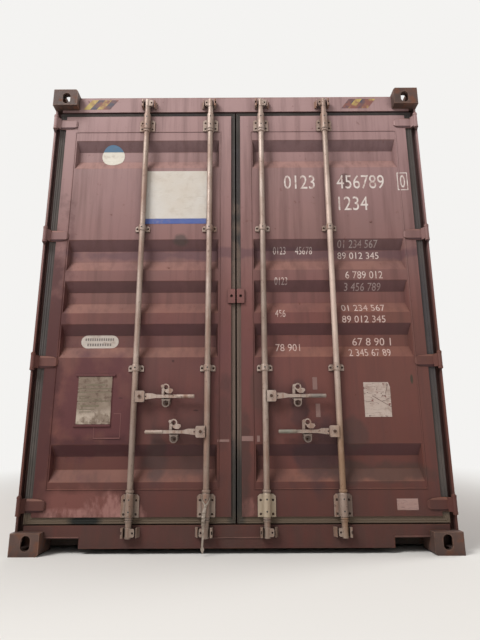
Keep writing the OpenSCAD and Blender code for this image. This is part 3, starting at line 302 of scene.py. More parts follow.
LEAF_DEPTH, DENT_DEPTH, LEAF_REACH = -6.03, -6.06, 0.3
door_marks = marks_at(
    LEAF_DEPTH, LEAF_REACH,
    # Paint rubbed to a chalky pink along the foot of the left door
    ("#774740", 0.7, -0.86, 0.27, 0.26, 0.07, 0.6),
    ("#9A6F68", 0.75, -0.86, 0.200, 0.27, 0.035, 0.7, 0.035),
    ("#9A6F68", 0.75, -0.70, 0.250, 0.13, 0.08, 0.65, 0.022),
    ("#8A5C54", 0.75, 0.06, 0.24, 0.05, 0.06, 0.6, 0.03),
    # Dark run-off round and under the handles
    ("#3A2B29", 0.7, -0.45, 0.53, 0.06, 0.15, 0.6),
    ("#43302E", 0.7, -0.27, 0.62, 0.12, 0.2, 0.35),
    ("#352628", 0.75, 0.36, 0.78, 0.05, 0.13, 0.5),
    ("#33272A", 0.75, 0.47, 0.52, 0.15, 0.18, 0.55),
    ("#3A2A26", 0.75, 0.05, 0.42, 0.035, 0.26, 0.6),
    ("#46322E", 0.75, -0.33, 0.47, 0.17, 0.07, 0.45),
    ("#4E2327", 0.6, -0.83, 0.80, 0.24, 0.30, 0.75),
    ("#3E2724", 0.65, -0.07, 0.72, 0.05, 0.25, 0.5),
    ("#421C1B", 0.65, -1.13, 0.95, 0.10, 0.90, 0.85),
    ("#3A1618", 0.65, -0.83, 0.57, 0.26, 0.06, 0.6),
    ("#45312B", 0.75, 0.78, 0.42, 0.30, 0.06, 0.75),
    ("#2F3328", 0.8, 1.032, 0.945, 0.007, 0.022, 0.8),
    ("#42302C", 0.7, 0.685, 0.640, 0.08, 0.10, 0.6),
    # Painted shade along the inner edge of the right door's panel, left of the third rod
    ("#4C362F", 0.7, 0.125, 0.900, 0.035, 0.16, 0.5),
    # Painted shade along the floor of the second recess, and a smudge over it on the left door
    ("#52383F", 0.65, 0.0, 1.745, 1.3, 0.035, 0.55),
    ("#4A403C", 0.75, -0.347, 1.828, 0.046, 0.034, 0.75),
    ("#3F2C2A", 0.8, 0.71, 2.25, 0.03, 0.05, 0.6),
) + marks_at(
    # Small dents that have caught dirt
    DENT_DEPTH, LEAF_REACH,
    ("#38211F", 0.8, -0.673, 0.843, 0.016, 0.004, 0.9),
    ("#38211F", 0.8, -0.236, 0.770, 0.015, 0.004, 0.9),
    ("#38211F", 0.8, -0.375, 1.060, 0.008, 0.008, 0.7),
)
DOOR_RED = red_paint("oxide red paint on the doors", "#663B35", "#784A41", 0.25, door_marks)
FRAME_RED = red_paint("oxide red paint on the frame", "#5F3831", "#71463D")
WALL_RED = red_paint("oxide red paint on the walls", "#6A413A", "#7D5349", 0.5)


def dress(material, slot, *nodes):
    """Gives CAD nodes their finish."""
    for name in nodes:
        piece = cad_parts[name]
        piece.data.materials.clear()
        piece.data.materials.append(material)


for side in ("left", "right"):
    dress(DOOR_RED, "red_paint", side + "_door_panel", side + "_door_frame", side + "_lock_plate")
    dress(FRAME_RED, "red_paint", side + "_hinge_blades")
dress(FRAME_RED, "red_paint", "rear_corner_posts", "front_corner_posts", "door_header", "door_sill",
      "front_top_rail", "front_bottom_rail", "top_side_rails", "bottom_side_rails", "threshold_plate",
      "hinge_lugs")
dress(WALL_RED, "red_paint", "left_side_wall", "right_side_wall", "front_wall", "roof_sheet",
      "roof_end_plates")


# Corner castings
# Eight steel castings, thickly painted and rubbed bare round their mouths by twistlocks and hooks.
def rough_cast():
    """Paint over cast sand grain, worn pale at the edges, with painted shade in the mouths."""
    material, shader, place = surface("dark paint on cast steel", specular=0.4)
    sand = spots(place, 0.003, 0.5, 0.3)
    lay(shader, [
        ("#45332C", 0.6),
        ("#574038", 0.7, spots(place, 0.08, 0.5, 0.12)),
        ("#6A422F", 0.85, spots(place, 0.03, 0.57, 0.06), 0.8),
        ("#806252", 0.6, both(edges(place, 0.008), spots(place, 0.04, 0.42, 0.12))),
        # Painted shade in the mouths and inner corners
        ("#231B1A", 0.85, corners(place, 0.06), 0.6),
    ])
    emboss(shader, [(sand, 0.0012), (spots(place, 0.05, 0.5, 0.3), 0.003)])
    return material


dress(rough_cast(), "casting_paint", "bottom_corner_castings", "top_corner_castings")


# Locking gear
# Hot-dip galvanised tubes, forgings and pressings, dulled to a warm grey with overspray and rust bleed.
def dull_zinc(name, base, rust, painted_behind=False, marks=()):
    """Zinc on steel, with marks on it that marks_at lists; the back of a cradle is painted with the door."""
    material, shader, place = surface(name, metallic=0.35)
    runs = spots(place, 0.02, 0.56, 0.08, stretch=(1, 1, 0.12))
    pits = spots(place, 0.008, 0.64, 0.03)
    layers = [
        (base, 0.5),
        ("#B9A69B", 0.45, spots(place, 0.25, 0.52, 0.12), 0.7),
        ("#8E7468", 0.6, spots(place, 0.12, 0.55, 0.08, shift=(1, 2, 3)), 0.7),
        ("#6F5F50", 0.65, rise(place, 1.1, 0.1), 0.5),
        ("#7C5540", 0.75, runs, rust),
        ("#4F3428", 0.85, pits, rust),
        # Painted shade in inner corners and holes
        ("#2F231D", 0.8, corners(place, 0.02), 0.9),
        ("#CDBFB4", 0.4, edges(place, 0.003), 0.45),
    ]
    if painted_behind:
        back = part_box("left_handle_cradles")[1].y
        layers.append(("#5E3A34", 0.6, rise(place, back - 0.012, back - 0.009, "Y")))
    for colour, rough, centre, half, strength in marks:
        layers.append((colour, rough, area(place, centre, half, ragged=0.8, grain=0.12, soft=0.5), strength))
    lay(shader, layers)
    emboss(shader, [(spots(place, 0.02, 0.5, 0.3), 0.0015), (pits, 0.0006)])
    return material


ROD_DEPTH, GEAR_DEPTH, WING_DEPTH, GEAR_REACH = -6.06, -6.07, -6.05, 0.1
rod_marks = marks_at(
    # The last rod has lost its zinc low down; half way up it carries a painted highlight, and the third rod
    # is darker there
    ROD_DEPTH, GEAR_REACH,
    ("#84603F", 0.6, 0.598, 0.40, 0.035, 0.42, 0.65),
    # Painted highlight half way up the last rod
    ("#C6B0A3", 0.6, 0.590, 1.55, 0.06, 0.60, 0.8),
    ("#6F5F54", 0.6, 0.168, 1.50, 0.06, 0.50, 0.5),
    ("#6E5C51", 0.6, -0.590, 0.60, 0.06, 0.35, 0.5),
)
gear_marks = marks_at(
    # The housing under the third rod is cleaner than the others
    GEAR_DEPTH, GEAR_REACH,
    ("#B4A58D", 0.6, 0.168, 0.25, 0.06, 0.09, 0.6),
) + marks_at(
    # The outer wing of the last housing is dirtier
    WING_DEPTH, GEAR_REACH,
    ("#55453E", 0.6, 0.634, 0.25, 0.02, 0.09, 0.6),
) + marks_at(
    # The grips on the right door are greyer than their bars
    GEAR_DEPTH, GEAR_REACH,
    ("#6F6B66", 0.6, 0.465, 0.848, 0.06, 0.03, 0.7),
    ("#71756A", 0.6, 0.285, 0.648, 0.06, 0.03, 0.7),
)
# The loops under the handles are painted darker than the catches over them: painted shade
loop_shade_marks = marks_at(GEAR_DEPTH, GEAR_REACH, *(
    ("#655850", 0.6, x, z, 0.045, 0.036, 0.8)
    for x, z in ((-0.404, 0.803), (-0.354, 0.605), (0.354, 0.805), (0.404, 0.605))))
ROD_ZINC = dull_zinc("galvanised steel tube", "#9A877B", 0.45, marks=rod_marks)
GEAR_ZINC = dull_zinc("galvanised steel forging", "#9A877B", 0.7, marks=gear_marks)
CRADLE_ZINC = dull_zinc("galvanised pressed steel", "#9A877B", 0.7, painted_behind=True, marks=loop_shade_marks)
KEEPER_ZINC = dull_zinc("galvanised steel casting", "#84695C", 0.9)
# Each lock has its rod's place across, its handle's height and the side its handle points to
LOCKS = {
    "left_outer": (-0.590, 0.848, 1),
    "left_inner": (-0.168, 0.648, -1),
    "right_inner": (0.168, 0.848, 1),
    "right_outer": (0.590, 0.648, -1),
}
for lock in LOCKS:
    dress(ROD_ZINC, "galvanised_gear", lock + "_rod")
    dress(GEAR_ZINC, "galvanised_gear", lock + "_handle", lock + "_catch")
for side in ("left", "right"):
    dress(GEAR_ZINC, "galvanised_gear", side + "_rod_brackets")
    dress(CRADLE_ZINC, "galvanised_gear", side + "_handle_cradles")
dress(KEEPER_ZINC, "galvanised_gear", "cam_keepers")


# Door seals
# Extruded EPDM rubber, grey with dust, hardened and scuffed where it meets the frame.
def old_rubber():
    """Dusty grey rubber, scuffed half way up, dark at the foot of the middle seam."""
    material, shader, place = surface("EPDM rubber", specular=0.3)
    middle = area(place, (0, -6.02, 1.15), (0.05, 0.2, 0.75))
    foot = area(place, (0, -6.02, 0.30), (0.05, 0.2, 0.28), ragged=0.2)
    # Painted shade where a piece of the seal is missing
    missing_piece_shade = area(place, (-0.84, -6.02, 0.17), (0.085, 0.2, 0.03), ragged=0.1)
    lay(shader, [
        ("#454041", 0.75),
        ("#574F4A", 0.85, spots(place, 0.06, 0.5, 0.15, stretch=(1, 1, 0.2))),
        ("#403B35", 0.7, spots(place, 0.15, 0.55, 0.1), 0.7),
        ("#7C685C", 0.8, middle, 0.75),
        ("#6A5A4A", 0.85, rise(place, 0.24, 0.19), 0.85),
        ("#30302D", 0.8, foot, 0.7),
        # Painted shade in inner corners
        ("#2A2624", 0.8, corners(place, 0.02), 0.6),
        ("#252623", 0.9, missing_piece_shade),
    ])
    emboss(shader, [(spots(place, 0.01, 0.5, 0.3), 0.001)])
    return material


RUBBER = old_rubber()
dress(RUBBER, "seal_rubber", "left_door_seal", "right_door_seal")


# Underframe
# Cross members, tunnel and floor rail under a thick bituminous coating, dusty from the road.
def underseal():
    """A thick lumpy coating, dusty, with rust coming through."""
    material, shader, place = surface("bituminous coating on steel", specular=0.3)
    lay(shader, [
        ("#2C2725", 0.8),
        ("#4A3F38", 0.9, spots(place, 0.2, 0.5, 0.15)),
        ("#54352A", 0.9, spots(place, 0.03, 0.6, 0.05), 0.7),
    ])
    emboss(shader, [(spots(place, 0.012, 0.5, 0.3), 0.002)])
    return material


dress(underseal(), "underbody_coating", "cross_members", "gooseneck_tunnel", "floor_centre_rail")


# Floor boards
# Marine plywood of tropical hardwood, its face grain along the container, scuffed by forklift wheels.
def plywood():
    """Open wood grain with pale scuffs and dark wheel marks along it."""
    material, shader, place = surface("hardwood plywood", specular=0.4)
    grain = spots(place, 0.006, 0.5, 0.2, stretch=(1, 0.04, 1))
    lay(shader, [
        ("#8C6444", 0.55),
        ("#6E4B31", 0.6, grain),
        ("#A57F5C", 0.6, spots(place, 0.4, 0.5, 0.12), 0.5),
        ("#3E2E24", 0.7, spots(place, 0.08, 0.6, 0.05, stretch=(1, 0.12, 1)), 0.7),
    ])
    emboss(shader, [(grain, 0.0006)])
    return material


dress(plywood(), "plywood", "plywood_floor")


# Ventilators
# Moulded ABS covers, painted over with the walls and chalky on their louvres.
def vent_plastic():
    """Painted plastic with a fine moulded grain and painted shade between the louvres."""
    material, shader, place = surface("painted ABS moulding", specular=0.45)
    lay(shader, [
        ("#6B4A44", 0.5),
        ("#85645B", 0.65, spots(place, 0.05, 0.52, 0.1)),
        ("#35231F", 0.8, corners(place, 0.02), 0.8),
    ])
    emboss(shader, [(spots(place, 0.002, 0.5, 0.3), 0.0003)])
    return material


dress(vent_plastic(), "vent_plastic", "side_vents")


# Number marks
# Stencilled white paint on the right door, partly worn off: plain digits in the usual rows, a boxed last
# digit beside the top row. Each mark follows the pressed panel below it.
PANEL_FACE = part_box("right_door_panel")[0].y
LEAF_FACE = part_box("right_door_frame")[0].y


def plain_mesh(piece):
    """The mesh that the modifiers or the letters of an object come to."""
    bpy.context.view_layer.update()
    depsgraph = bpy.context.evaluated_depsgraph_get()
    return bpy.data.meshes.new_from_object(piece.evaluated_get(depsgraph), depsgraph=depsgraph)


def collect(material, name, body, mesh, thick=0.0, bevel=0.0):
    """Makes one piece of a bmesh, gives it a finish and lets it ride on its body."""
    piece = new_object(name, bpy.data.meshes.new(name))
    mesh.to_mesh(piece.data)
    mesh.free()
    if thick:
        shell = piece.modifiers.new("shell", "SOLIDIFY")
        shell.thickness = thick
        shell.offset = -1
    if bevel:
        rounding = piece.modifiers.new("rounding", "BEVEL")
        rounding.width = bevel
        rounding.segments = 2
    if piece.modifiers:
        piece.data = plain_mesh(piece)
        piece.modifiers.clear()
    piece.data.materials.clear()
    piece.data.materials.append(material)
    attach(piece, body)


def lay_on(mesh, nodes, lift):
    """Cuts a flat drawing along the folds of CAD nodes, and lays it on their outer faces."""
    folds, walls = set(), []
    for name in nodes:
        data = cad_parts[name].data
        points = [v.co.copy() for v in data.vertices]
        folds |= {round(p.z, 4) for p in points}
        walls.append(BVHTree.FromPolygons(points, [tuple(f.vertices) for f in data.polygons]))
    low = min(v.co.z for v in mesh.verts)
    high = max(v.co.z for v in mesh.verts)
    for fold in sorted(folds):
        if low < fold < high:
            everything = mesh.verts[:] + mesh.edges[:] + mesh.faces[:]
            bmesh.ops.bisect_plane(mesh, geom=everything, plane_co=(0, 0, fold), plane_no=(0, 0, 1))
    start = min(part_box(name)[0].y for name in nodes) - 0.1
    for v in mesh.verts:
        hits = [wall.ray_cast(Vector((v.co.x, start, v.co.z)), Vector((0, 1, 0)))[0] for wall in walls]
        depths = [hit.y for hit in hits if hit]
        if depths:
            v.co.y = min(depths) - lift


def outline(mesh, points, y=0.0):
    """A flat face in width and height that looks to the rear."""
    face = mesh.faces.new([mesh.verts.new((x, y, z)) for x, z in points])
    face.normal_update()
    if face.normal.y > 0:
        face.normal_flip()


def rectangle(x0, x1, z0, z1):
    """The four corners of a rectangle."""
    return [(x0, z0), (x1, z0), (x1, z1), (x0, z1)]


def digits(mesh, text, x0, x1, z0, z1):
    """Writes plain digits into a box."""
    curve = bpy.data.curves.new("digits", "FONT")
    curve.body = text
    curve.resolution_u = 3
    written = new_object("digits", curve)
    flat = plain_mesh(written)
    bpy.data.objects.remove(written)
    xs = [v.co.x for v in flat.vertices]
    ys = [v.co.y for v in flat.vertices]
    for v in flat.vertices:
        x = x0 + (v.co.x - min(xs)) / (max(xs) - min(xs)) * (x1 - x0)
        z = z0 + (v.co.y - min(ys)) / (max(ys) - min(ys)) * (z1 - z0)
        v.co = (x, 0, z)
    mesh.from_mesh(flat)
    bpy.data.meshes.remove(flat)


def mark_paint():
    """Stencil paint: chalky, browner low down, with painted shade where it faces the ground, and worn off in
    spots.
    """
    material, shader, place = surface("white stencil paint", specular=0.35)
    lay(shader, [
        ("#D0C4BD", 0.6),
        ("#AF978F", 0.65, spots(place, 0.02, 0.54, 0.06), 0.8),
        ("#A8796B", 0.65, rise(place, 2.0, 1.2), 0.5),
        # Painted shade on faces that look down
        ("#5E484C", 0.65, facing(place, -0.1, -0.6), 0.8),
        ("#6E443D", 0.6, spots(place, 0.02, 0.66, 0.03)),
    ])
    return material


MARK_LIFT, MARK_THICK = 0.0006, 0.0004
marks = bmesh.new()
# Rows of digits: text, left, right, bottom and top
for text, x0, x1, z0, z1 in (
    ("0123", 0.313, 0.513, 2.184, 2.281),
    ("456789", 0.655, 0.964, 2.184, 2.281),
    ("0", 1.068, 1.101, 2.190, 2.279),
    ("1234", 0.660, 0.850, 2.031, 2.128),
    ("01 234 567", 0.642, 0.894, 1.783, 1.828),
    ("89 012 345", 0.642, 0.902, 1.712, 1.757),
    ("6 789 012", 0.677, 0.908, 1.570, 1.618),
    ("3 456 789", 0.670, 0.895, 1.500, 1.545),
    ("01 234 567", 0.644, 0.910, 1.364, 1.409),
    ("89 012 345", 0.642, 0.905, 1.290, 1.333),
    ("67 8 90 1", 0.704, 0.937, 1.155, 1.202),
    ("2 345 67 89", 0.674, 0.925, 1.085, 1.132),
    ("0123", 0.235, 0.314, 1.745, 1.792),
    ("45678", 0.375, 0.482, 1.745, 1.792),
    ("0123", 0.238, 0.317, 1.535, 1.581),
    ("456", 0.238, 0.300, 1.327, 1.374),
    ("78 901", 0.238, 0.385, 1.120, 1.167),
):
    digits(marks, text, x0, x1, z0, z1)
# The box round the last digit, of four lines
BOX_X0, BOX_X1, BOX_Z0, BOX_Z1, LINE = 1.050, 1.118, 2.171, 2.298, 0.006
for z in (BOX_Z0, BOX_Z1 - LINE):
    outline(marks, rectangle(BOX_X0, BOX_X1, z, z + LINE))
for x in (BOX_X0, BOX_X1 - LINE):
    outline(marks, rectangle(x, x + LINE, BOX_Z0 + LINE, BOX_Z1 - LINE))
lay_on(marks, ["right_door_panel", "right_door_frame"], MARK_LIFT)
bmesh.ops.recalc_face_normals(marks, faces=marks.faces)
for face in marks.faces:
    if face.normal.y > 0:
        face.normal_flip()
collect(mark_paint(), "number_marks", "right_door", marks, thick=MARK_THICK)


# Stickers and placard
# Printed vinyl film on both doors: a large bare placard with a blue foot, a round two-tone one, an oval one
# and two paper-like ones, with creases, scratches and dirt. What is printed on the real ones is left out.
def film(name, base, second, dirt, split=None, scratched=0.0):
    """Vinyl film, pale blue above the height split; scratched is how much of it is torn."""
    material, shader, place = surface(name)
    layers = [
        (base, 0.4),
        (second, 0.5, spots(place, 0.12, 0.5, 0.15)),
    ]
    if split:
        layers.append(("#5C7C98", 0.45, rise(place, split, split + 0.002)))
    layers.append(("#8A7468", 0.7, spots(place, 0.03, 0.6, 0.06), dirt))
    if scratched:
        tree = place.id_data
        warp = add(tree, "ShaderNodeMapping", {
            "Vector": place, "Rotation": (0, 0.7, 0), "Scale": (6, 1, 30)}).outputs[0]
        lines = add(tree, "ShaderNodeTexNoise", {"Vector": warp, "Scale": 1.6, "Detail": 1.0}).outputs[0]
        thin = add(tree, "ShaderNodeMath", {0: lines, 1: 0.5, 2: 0.008}, operation="COMPARE").outputs[0]
        layers.append(("#5D4A46", 0.7, thin, scratched))
        layers.append(("#6E443D", 0.6, spots(place, 0.02, 0.63, 0.015), scratched))
    lay(shader, layers)
    creases = spots(place, 0.05, 0.5, 0.02, stretch=(1, 1, 2.5))
    emboss(shader, [(creases, 0.0006)])
    return material


STICKER_LIFT, STICKER_FILM = 0.0012, 0.0008


def sticker(name, body, material, points, nodes):
    """One film with the given outline, laid on CAD nodes."""
    drawing = bmesh.new()
    outline(drawing, points)
    lay_on(drawing, nodes, STICKER_LIFT)
    collect(material, name, body, drawing, thick=STICKER_FILM)


def ellipse(x, z, half_w, half_h):
    """An ellipse as a list of 40 points."""
    turns = [math.radians(9 * k) for k in range(40)]
    return [(x + half_w * math.cos(a), z + half_h * math.sin(a)) for a in turns]


def stadium(x0, x1, z0, z1):
    """A rectangle with half-round ends, each of ten short sides."""
    r, z = (z1 - z0) / 2, (z0 + z1) / 2
    points = []
    for middle, start in ((x1 - r, -90), (x0 + r, 90)):
        for k in range(11):
            a = math.radians(start + 18 * k)
            points.append((middle + r * math.cos(a), z + r * math.sin(a)))
    return points


LEFT = ["left_door_panel", "left_door_frame"]
RIGHT = ["right_door_panel", "right_door_frame"]
PLACARD_X, PLACARD_Z0, BAND_Z, PLACARD_Z1 = (-0.577, -0.188), 1.943, 1.979, 2.316
sticker("placard", "left_door", film("white vinyl film", "#C5BEB6", "#BFB4A7", 0.1),
        rectangle(*PLACARD_X, BAND_Z, PLACARD_Z1), LEFT)
sticker("placard_band", "left_door", film("blue vinyl film", "#3E4F8C", "#4A5A90", 0.25),
        rectangle(*PLACARD_X, PLACARD_Z0, BAND_Z), LEFT)
sticker("round_sticker", "left_door", film("two-tone vinyl film", "#CFC9BB", "#BDB3A4", 0.3, split=2.478),
        ellipse(-0.816, 2.447, 0.075, 0.073), LEFT)
sticker("oval_sticker", "left_door", film("white oval film", "#B9AEA5", "#AC9F94", 0.4),
        stadium(-0.940, -0.713, 1.1455, 1.2245), LEFT)
dashes = bmesh.new()
# Two rows of plain dark dashes on the oval sticker: left end, right end, height and count
for x0, x1, z, count in ((-0.915, -0.737, 1.199, 13), (-0.902, -0.752, 1.167, 10)):
    pitch = (x1 - x0) / count
    for k in range(count):
        outline(dashes, rectangle(x0 + k * pitch, x0 + (k + 0.62) * pitch, z - 0.008, z + 0.008))
lay_on(dashes, LEFT, STICKER_LIFT + 0.0004)
collect(film("grey print", "#5C5450", "#6B625D", 0.3), "oval_sticker_dashes", "left_door", dashes,
        thick=0.0006)
sticker("paper_sticker", "right_door", film("scratched white film", "#B7A79C", "#A79388", 0.6, scratched=1.0),
        [(0.745, 0.729), (0.900, 0.729), (0.900, 0.900), (0.890, 0.929), (0.745, 0.929)], RIGHT)
scratches = bmesh.new()
# Long scratches through the film: start, end and half width
for x0, z0, x1, z1, half in ((0.800, 0.846, 0.836, 0.824, 0.0020), (0.836, 0.824, 0.899, 0.787, 0.0016),
                             (0.887, 0.918, 0.871, 0.862, 0.0016), (0.752, 0.815, 0.790, 0.817, 0.0012),
                             (0.845, 0.846, 0.872, 0.853, 0.0012)):
    aside = Vector((z0 - z1, x1 - x0)).normalized() * half
    outline(scratches, [(x0 - aside.x, z0 - aside.y), (x1 - aside.x, z1 - aside.y),
                        (x1 + aside.x, z1 + aside.y), (x0 + aside.x, z0 + aside.y)])
lay_on(scratches, RIGHT, STICKER_LIFT + 0.0003)
collect(film("bare paint in a scratch", "#54403A", "#634C45", 0.2), "paper_sticker_scratches", "right_door",
        scratches, thick=0.0005)
sticker("small_sticker", "right_door", film("faded white film", "#A0837A", "#8E6E66", 0.6, scratched=0.6),
        rectangle(0.890, 1.008, 0.222, 0.282), RIGHT)
GLUE = film("dusty glue of old tape", "#82635D", "#76564F", 0.3)
for name, body, sides, nodes in (
    ("upper_tape_glue", "right_door", (0.448, 0.475, 0.887, 0.960), RIGHT),
    ("lower_tape_glue", "right_door", (0.461, 0.487, 0.729, 0.806), RIGHT),
    ("left_edge_tape_glue", "left_door", (-0.108, -0.040, 0.592, 0.606), LEFT),
    ("right_edge_tape_glue", "right_door", (0.031, 0.098, 0.596, 0.624), RIGHT),
    ("inner_tape_glue", "right_door", (0.118, 0.135, 0.592, 0.626), RIGHT),
):
    sticker(name, body, GLUE, rectangle(*sides), nodes)


# Data plate
# An aluminium plate in four sections, riveted on a steel backing with folded strips at the top and the
# bottom, weathered to a dull khaki with flecks of white paint on its lowest section.
def plate_metal():
    """Dull etched aluminium, pitted brown, flecked with white paint low down."""
    material, shader, place = surface("weathered aluminium plate", metallic=0.5)
    low = rise(place, 0.80, 0.74)
    lay(shader, [
        ("#8A7B6C", 0.5),
        ("#766558", 0.6, spots(place, 0.06, 0.5, 0.12)),
        ("#5E4B40", 0.7, spots(place, 0.012, 0.58, 0.05), 0.7),
        ("#B4A596", 0.6, both(spots(place, 0.03, 0.5, 0.06), low), 0.8),
    ])
    emboss(shader, [(spots(place, 0.01, 0.5, 0.2), 0.0005)])
    return material


def panel_box(mesh, x0, x1, z0, z1, out, back):
    """A box on the left door's panel, from out to back metres before its face."""
    low, high = (x0, PANEL_FACE - out, z0), (x1, PANEL_FACE - back, z1)
    for v in bmesh.ops.create_cube(mesh, size=1.0)["verts"]:
        v.co = [low[k] + (v.co[k] + 0.5) * (high[k] - low[k]) for k in range(3)]


PLATE_X0, PLATE_X1, PLATE_Z0, PLATE_Z1 = -0.930, -0.724, 0.690, 0.972
RIM, GAP, FOLD_OUT = 0.004, 0.0002, 0.008
STRIP_X0, STRIP_X1, LOW_STRIP_X1 = PLATE_X0 - 0.012, PLATE_X1 + 0.014, PLATE_X1 - 0.002
PLATE_METAL = plate_metal()
backing = bmesh.new()
panel_box(backing, PLATE_X0, PLATE_X1, PLATE_Z0, PLATE_Z1, 0.0025, GAP)
panel_box(backing, STRIP_X0, STRIP_X1, PLATE_Z1 - 0.002, PLATE_Z1 + 0.010, FOLD_OUT, GAP)
panel_box(backing, STRIP_X0, LOW_STRIP_X1, PLATE_Z0 - 0.010, PLATE_Z0 + 0.002, FOLD_OUT, GAP)
collect(DOOR_RED, "data_plate_backing", "left_door", backing, bevel=0.001)

plates, lines = bmesh.new(), bmesh.new()
plate_w, plate_h = PLATE_X1 - PLATE_X0, PLATE_Z1 - PLATE_Z0 - 2 * RIM
# The sections of the plate, from and to which share of its height, and the dark ground between them
for share0, share1 in ((0.75, 1.0), (0.68, 0.728), (0.49, 0.66), (0.0, 0.468)):
    panel_box(plates, PLATE_X0 + RIM, PLATE_X1 - RIM, PLATE_Z0 + RIM + share0 * plate_h,
              PLATE_Z0 + RIM + share1 * plate_h, 0.0040, 0.0026)
panel_box(lines, PLATE_X0 + 2 * RIM, PLATE_X1 - 2 * RIM, PLATE_Z0 + 2 * RIM, PLATE_Z1 - 2 * RIM,
          0.0032, 0.0024)
# Plain lines where the real plate has its print: shares of its width and height, and half their height
for share0, share1, share_z, half in ((0.22, 0.78, 0.84, 0.0040), (0.06, 0.42, 0.60, 0.0022),
                                      (0.06, 0.70, 0.545, 0.0022), (0.12, 0.64, 0.395, 0.0045),
                                      (0.10, 0.52, 0.325, 0.0022), (0.10, 0.44, 0.27, 0.0022)):
    line_z = PLATE_Z0 + share_z * plate_h
    panel_box(lines, PLATE_X0 + share0 * plate_w, PLATE_X0 + share1 * plate_w, line_z - half, line_z + half,
              0.0046, 0.0039)
collect(PLATE_METAL, "data_plate", "left_door", plates, bevel=0.0003)
collect(film("olive print on metal", "#5F553F", "#6E6350", 0.3), "data_plate_lines", "left_door", lines)

# The ridge of paint that an older plate left beside it: a thick lower side and three thin ones
OLD_X0, OLD_X1, OLD_Z0, OLD_Z1, RIDGE = -0.821, -0.667, 0.612, 0.752, 0.003
ghost = bmesh.new()
for x0, x1, z0, z1, out in (
    (OLD_X0, OLD_X1, OLD_Z0, OLD_Z0 + 2 * RIDGE, 0.0040),
    (STRIP_X1, OLD_X1, OLD_Z1, OLD_Z1 + RIDGE, 0.0015),
    (OLD_X1 - RIDGE, OLD_X1, OLD_Z0, OLD_Z1, 0.0012),
    (OLD_X0, OLD_X0 + RIDGE, OLD_Z0, PLATE_Z0 - 0.012, 0.0012),
):
    panel_box(ghost, x0, x1, z0, z1, out, GAP / 2)
# The ridge's paint is lighter than the door's: a painted highlight along it
RIDGE_HIGHLIGHT = red_paint("old red paint ridge with a painted highlight", "#8E5F5C", "#9A6D69", 0.2)
collect(RIDGE_HIGHLIGHT, "old_plate_outline", "left_door", ghost)


# Hazard stripes
# Slanted safety stripes in yellow and dark paint on both ends of the header, faded and half gone.
def stripe_paint(name, base):
    """Safety paint that has come off in spots, down to the red below it."""
    material, shader, place = surface(name, specular=0.35)
    lay(shader, [
        (base, 0.6),
        ("#7E5249", 0.65, spots(place, 0.04, 0.52, 0.08)),
    ])
    return material


STRIPE_W, STRIPE_SLANT = 0.045, 0.055
low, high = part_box("door_header")
STRIPE_Z0, STRIPE_Z1 = high.z - 0.085, high.z - 0.012
for name, colour, starts in (
    ("yellow_stripes", "#B39C5A", (-1.030, -0.940, 0.760, 0.850)),
    ("dark_stripes", "#4A4650", (-0.985, -0.895, 0.715, 0.805)),
):
    stripes = bmesh.new()
    for x in starts:
        top = x + STRIPE_SLANT
        outline(stripes, [(x, STRIPE_Z0), (x + STRIPE_W, STRIPE_Z0), (top + STRIPE_W, STRIPE_Z1),
                          (top, STRIPE_Z1)], low.y - MARK_LIFT)
    collect(stripe_paint(name.replace("_", " ") + " of safety paint", colour), name, "container",
            stripes, thick=MARK_THICK)


# Bolts and rivets
# Domed steel fasteners on washers: they hold the rod bearings and cradles to the doors, the handles to their
# hubs, the ventilators to the walls, the boards to the floor and the data plate to its backing. One node tree
# sets them on points.
def fastener_tree():
    """A flat dome on a washer, set on each point and turned to one axis."""
    tree = bpy.data.node_groups.new("domed fasteners", "GeometryNodeTree")
    face = tree.interface
    face.new_socket("Points", in_out="INPUT", socket_type="NodeSocketGeometry")
    for name, value in (("Head radius", 0.009), ("Head height", 0.006), ("Washer radius", 0.012)):
        face.new_socket(name, in_out="INPUT", socket_type="NodeSocketFloat").default_value = value
    face.new_socket("Facets", in_out="INPUT", socket_type="NodeSocketInt").default_value = 12
    face.new_socket("Axis turn", in_out="INPUT", socket_type="NodeSocketVector")
    face.new_socket("Finish", in_out="INPUT", socket_type="NodeSocketMaterial")
    face.new_socket("Fasteners", in_out="OUTPUT", socket_type="NodeSocketGeometry")
    given = add(tree, "NodeGroupInput").outputs
    head = add(tree, "GeometryNodeMeshUVSphere", {
        "Segments": given["Facets"], "Rings": 5, "Radius": given["Head radius"]}).outputs["Mesh"]
    ratio = add(tree, "ShaderNodeMath", {
        0: given["Head height"], 1: given["Head radius"]}, operation="DIVIDE").outputs[0]
    flat = add(tree, "ShaderNodeCombineXYZ", {"X": 1.0, "Y": 1.0, "Z": ratio})
    dome = add(tree, "GeometryNodeTransform", {"Geometry": head, "Scale": flat.outputs[0]}).outputs[0]
    washer = add(tree, "GeometryNodeMeshCylinder", {
        "Vertices": given["Facets"], "Radius": given["Washer radius"], "Depth": 0.004}).outputs["Mesh"]
    joined = add(tree, "GeometryNodeJoinGeometry")
    tree.links.new(dome, joined.inputs[0])
    tree.links.new(washer, joined.inputs[0])
    placed = add(tree, "GeometryNodeInstanceOnPoints", {
        "Points": given["Points"], "Instance": joined.outputs[0],
        "Rotation": given["Axis turn"]}).outputs[0]
    real = add(tree, "GeometryNodeRealizeInstances", {"Geometry": placed}).outputs[0]
    done = add(tree, "GeometryNodeSetMaterial", {"Geometry": real, "Material": given["Finish"]}).outputs[0]
    add(tree, "NodeGroupOutput", {"Fasteners": done})
    return tree


FASTENERS = fastener_tree()
TO_REAR, TO_SIDE, UPWARDS = (math.pi / 2, 0, 0), (0, math.pi / 2, 0), (0, 0, 0)


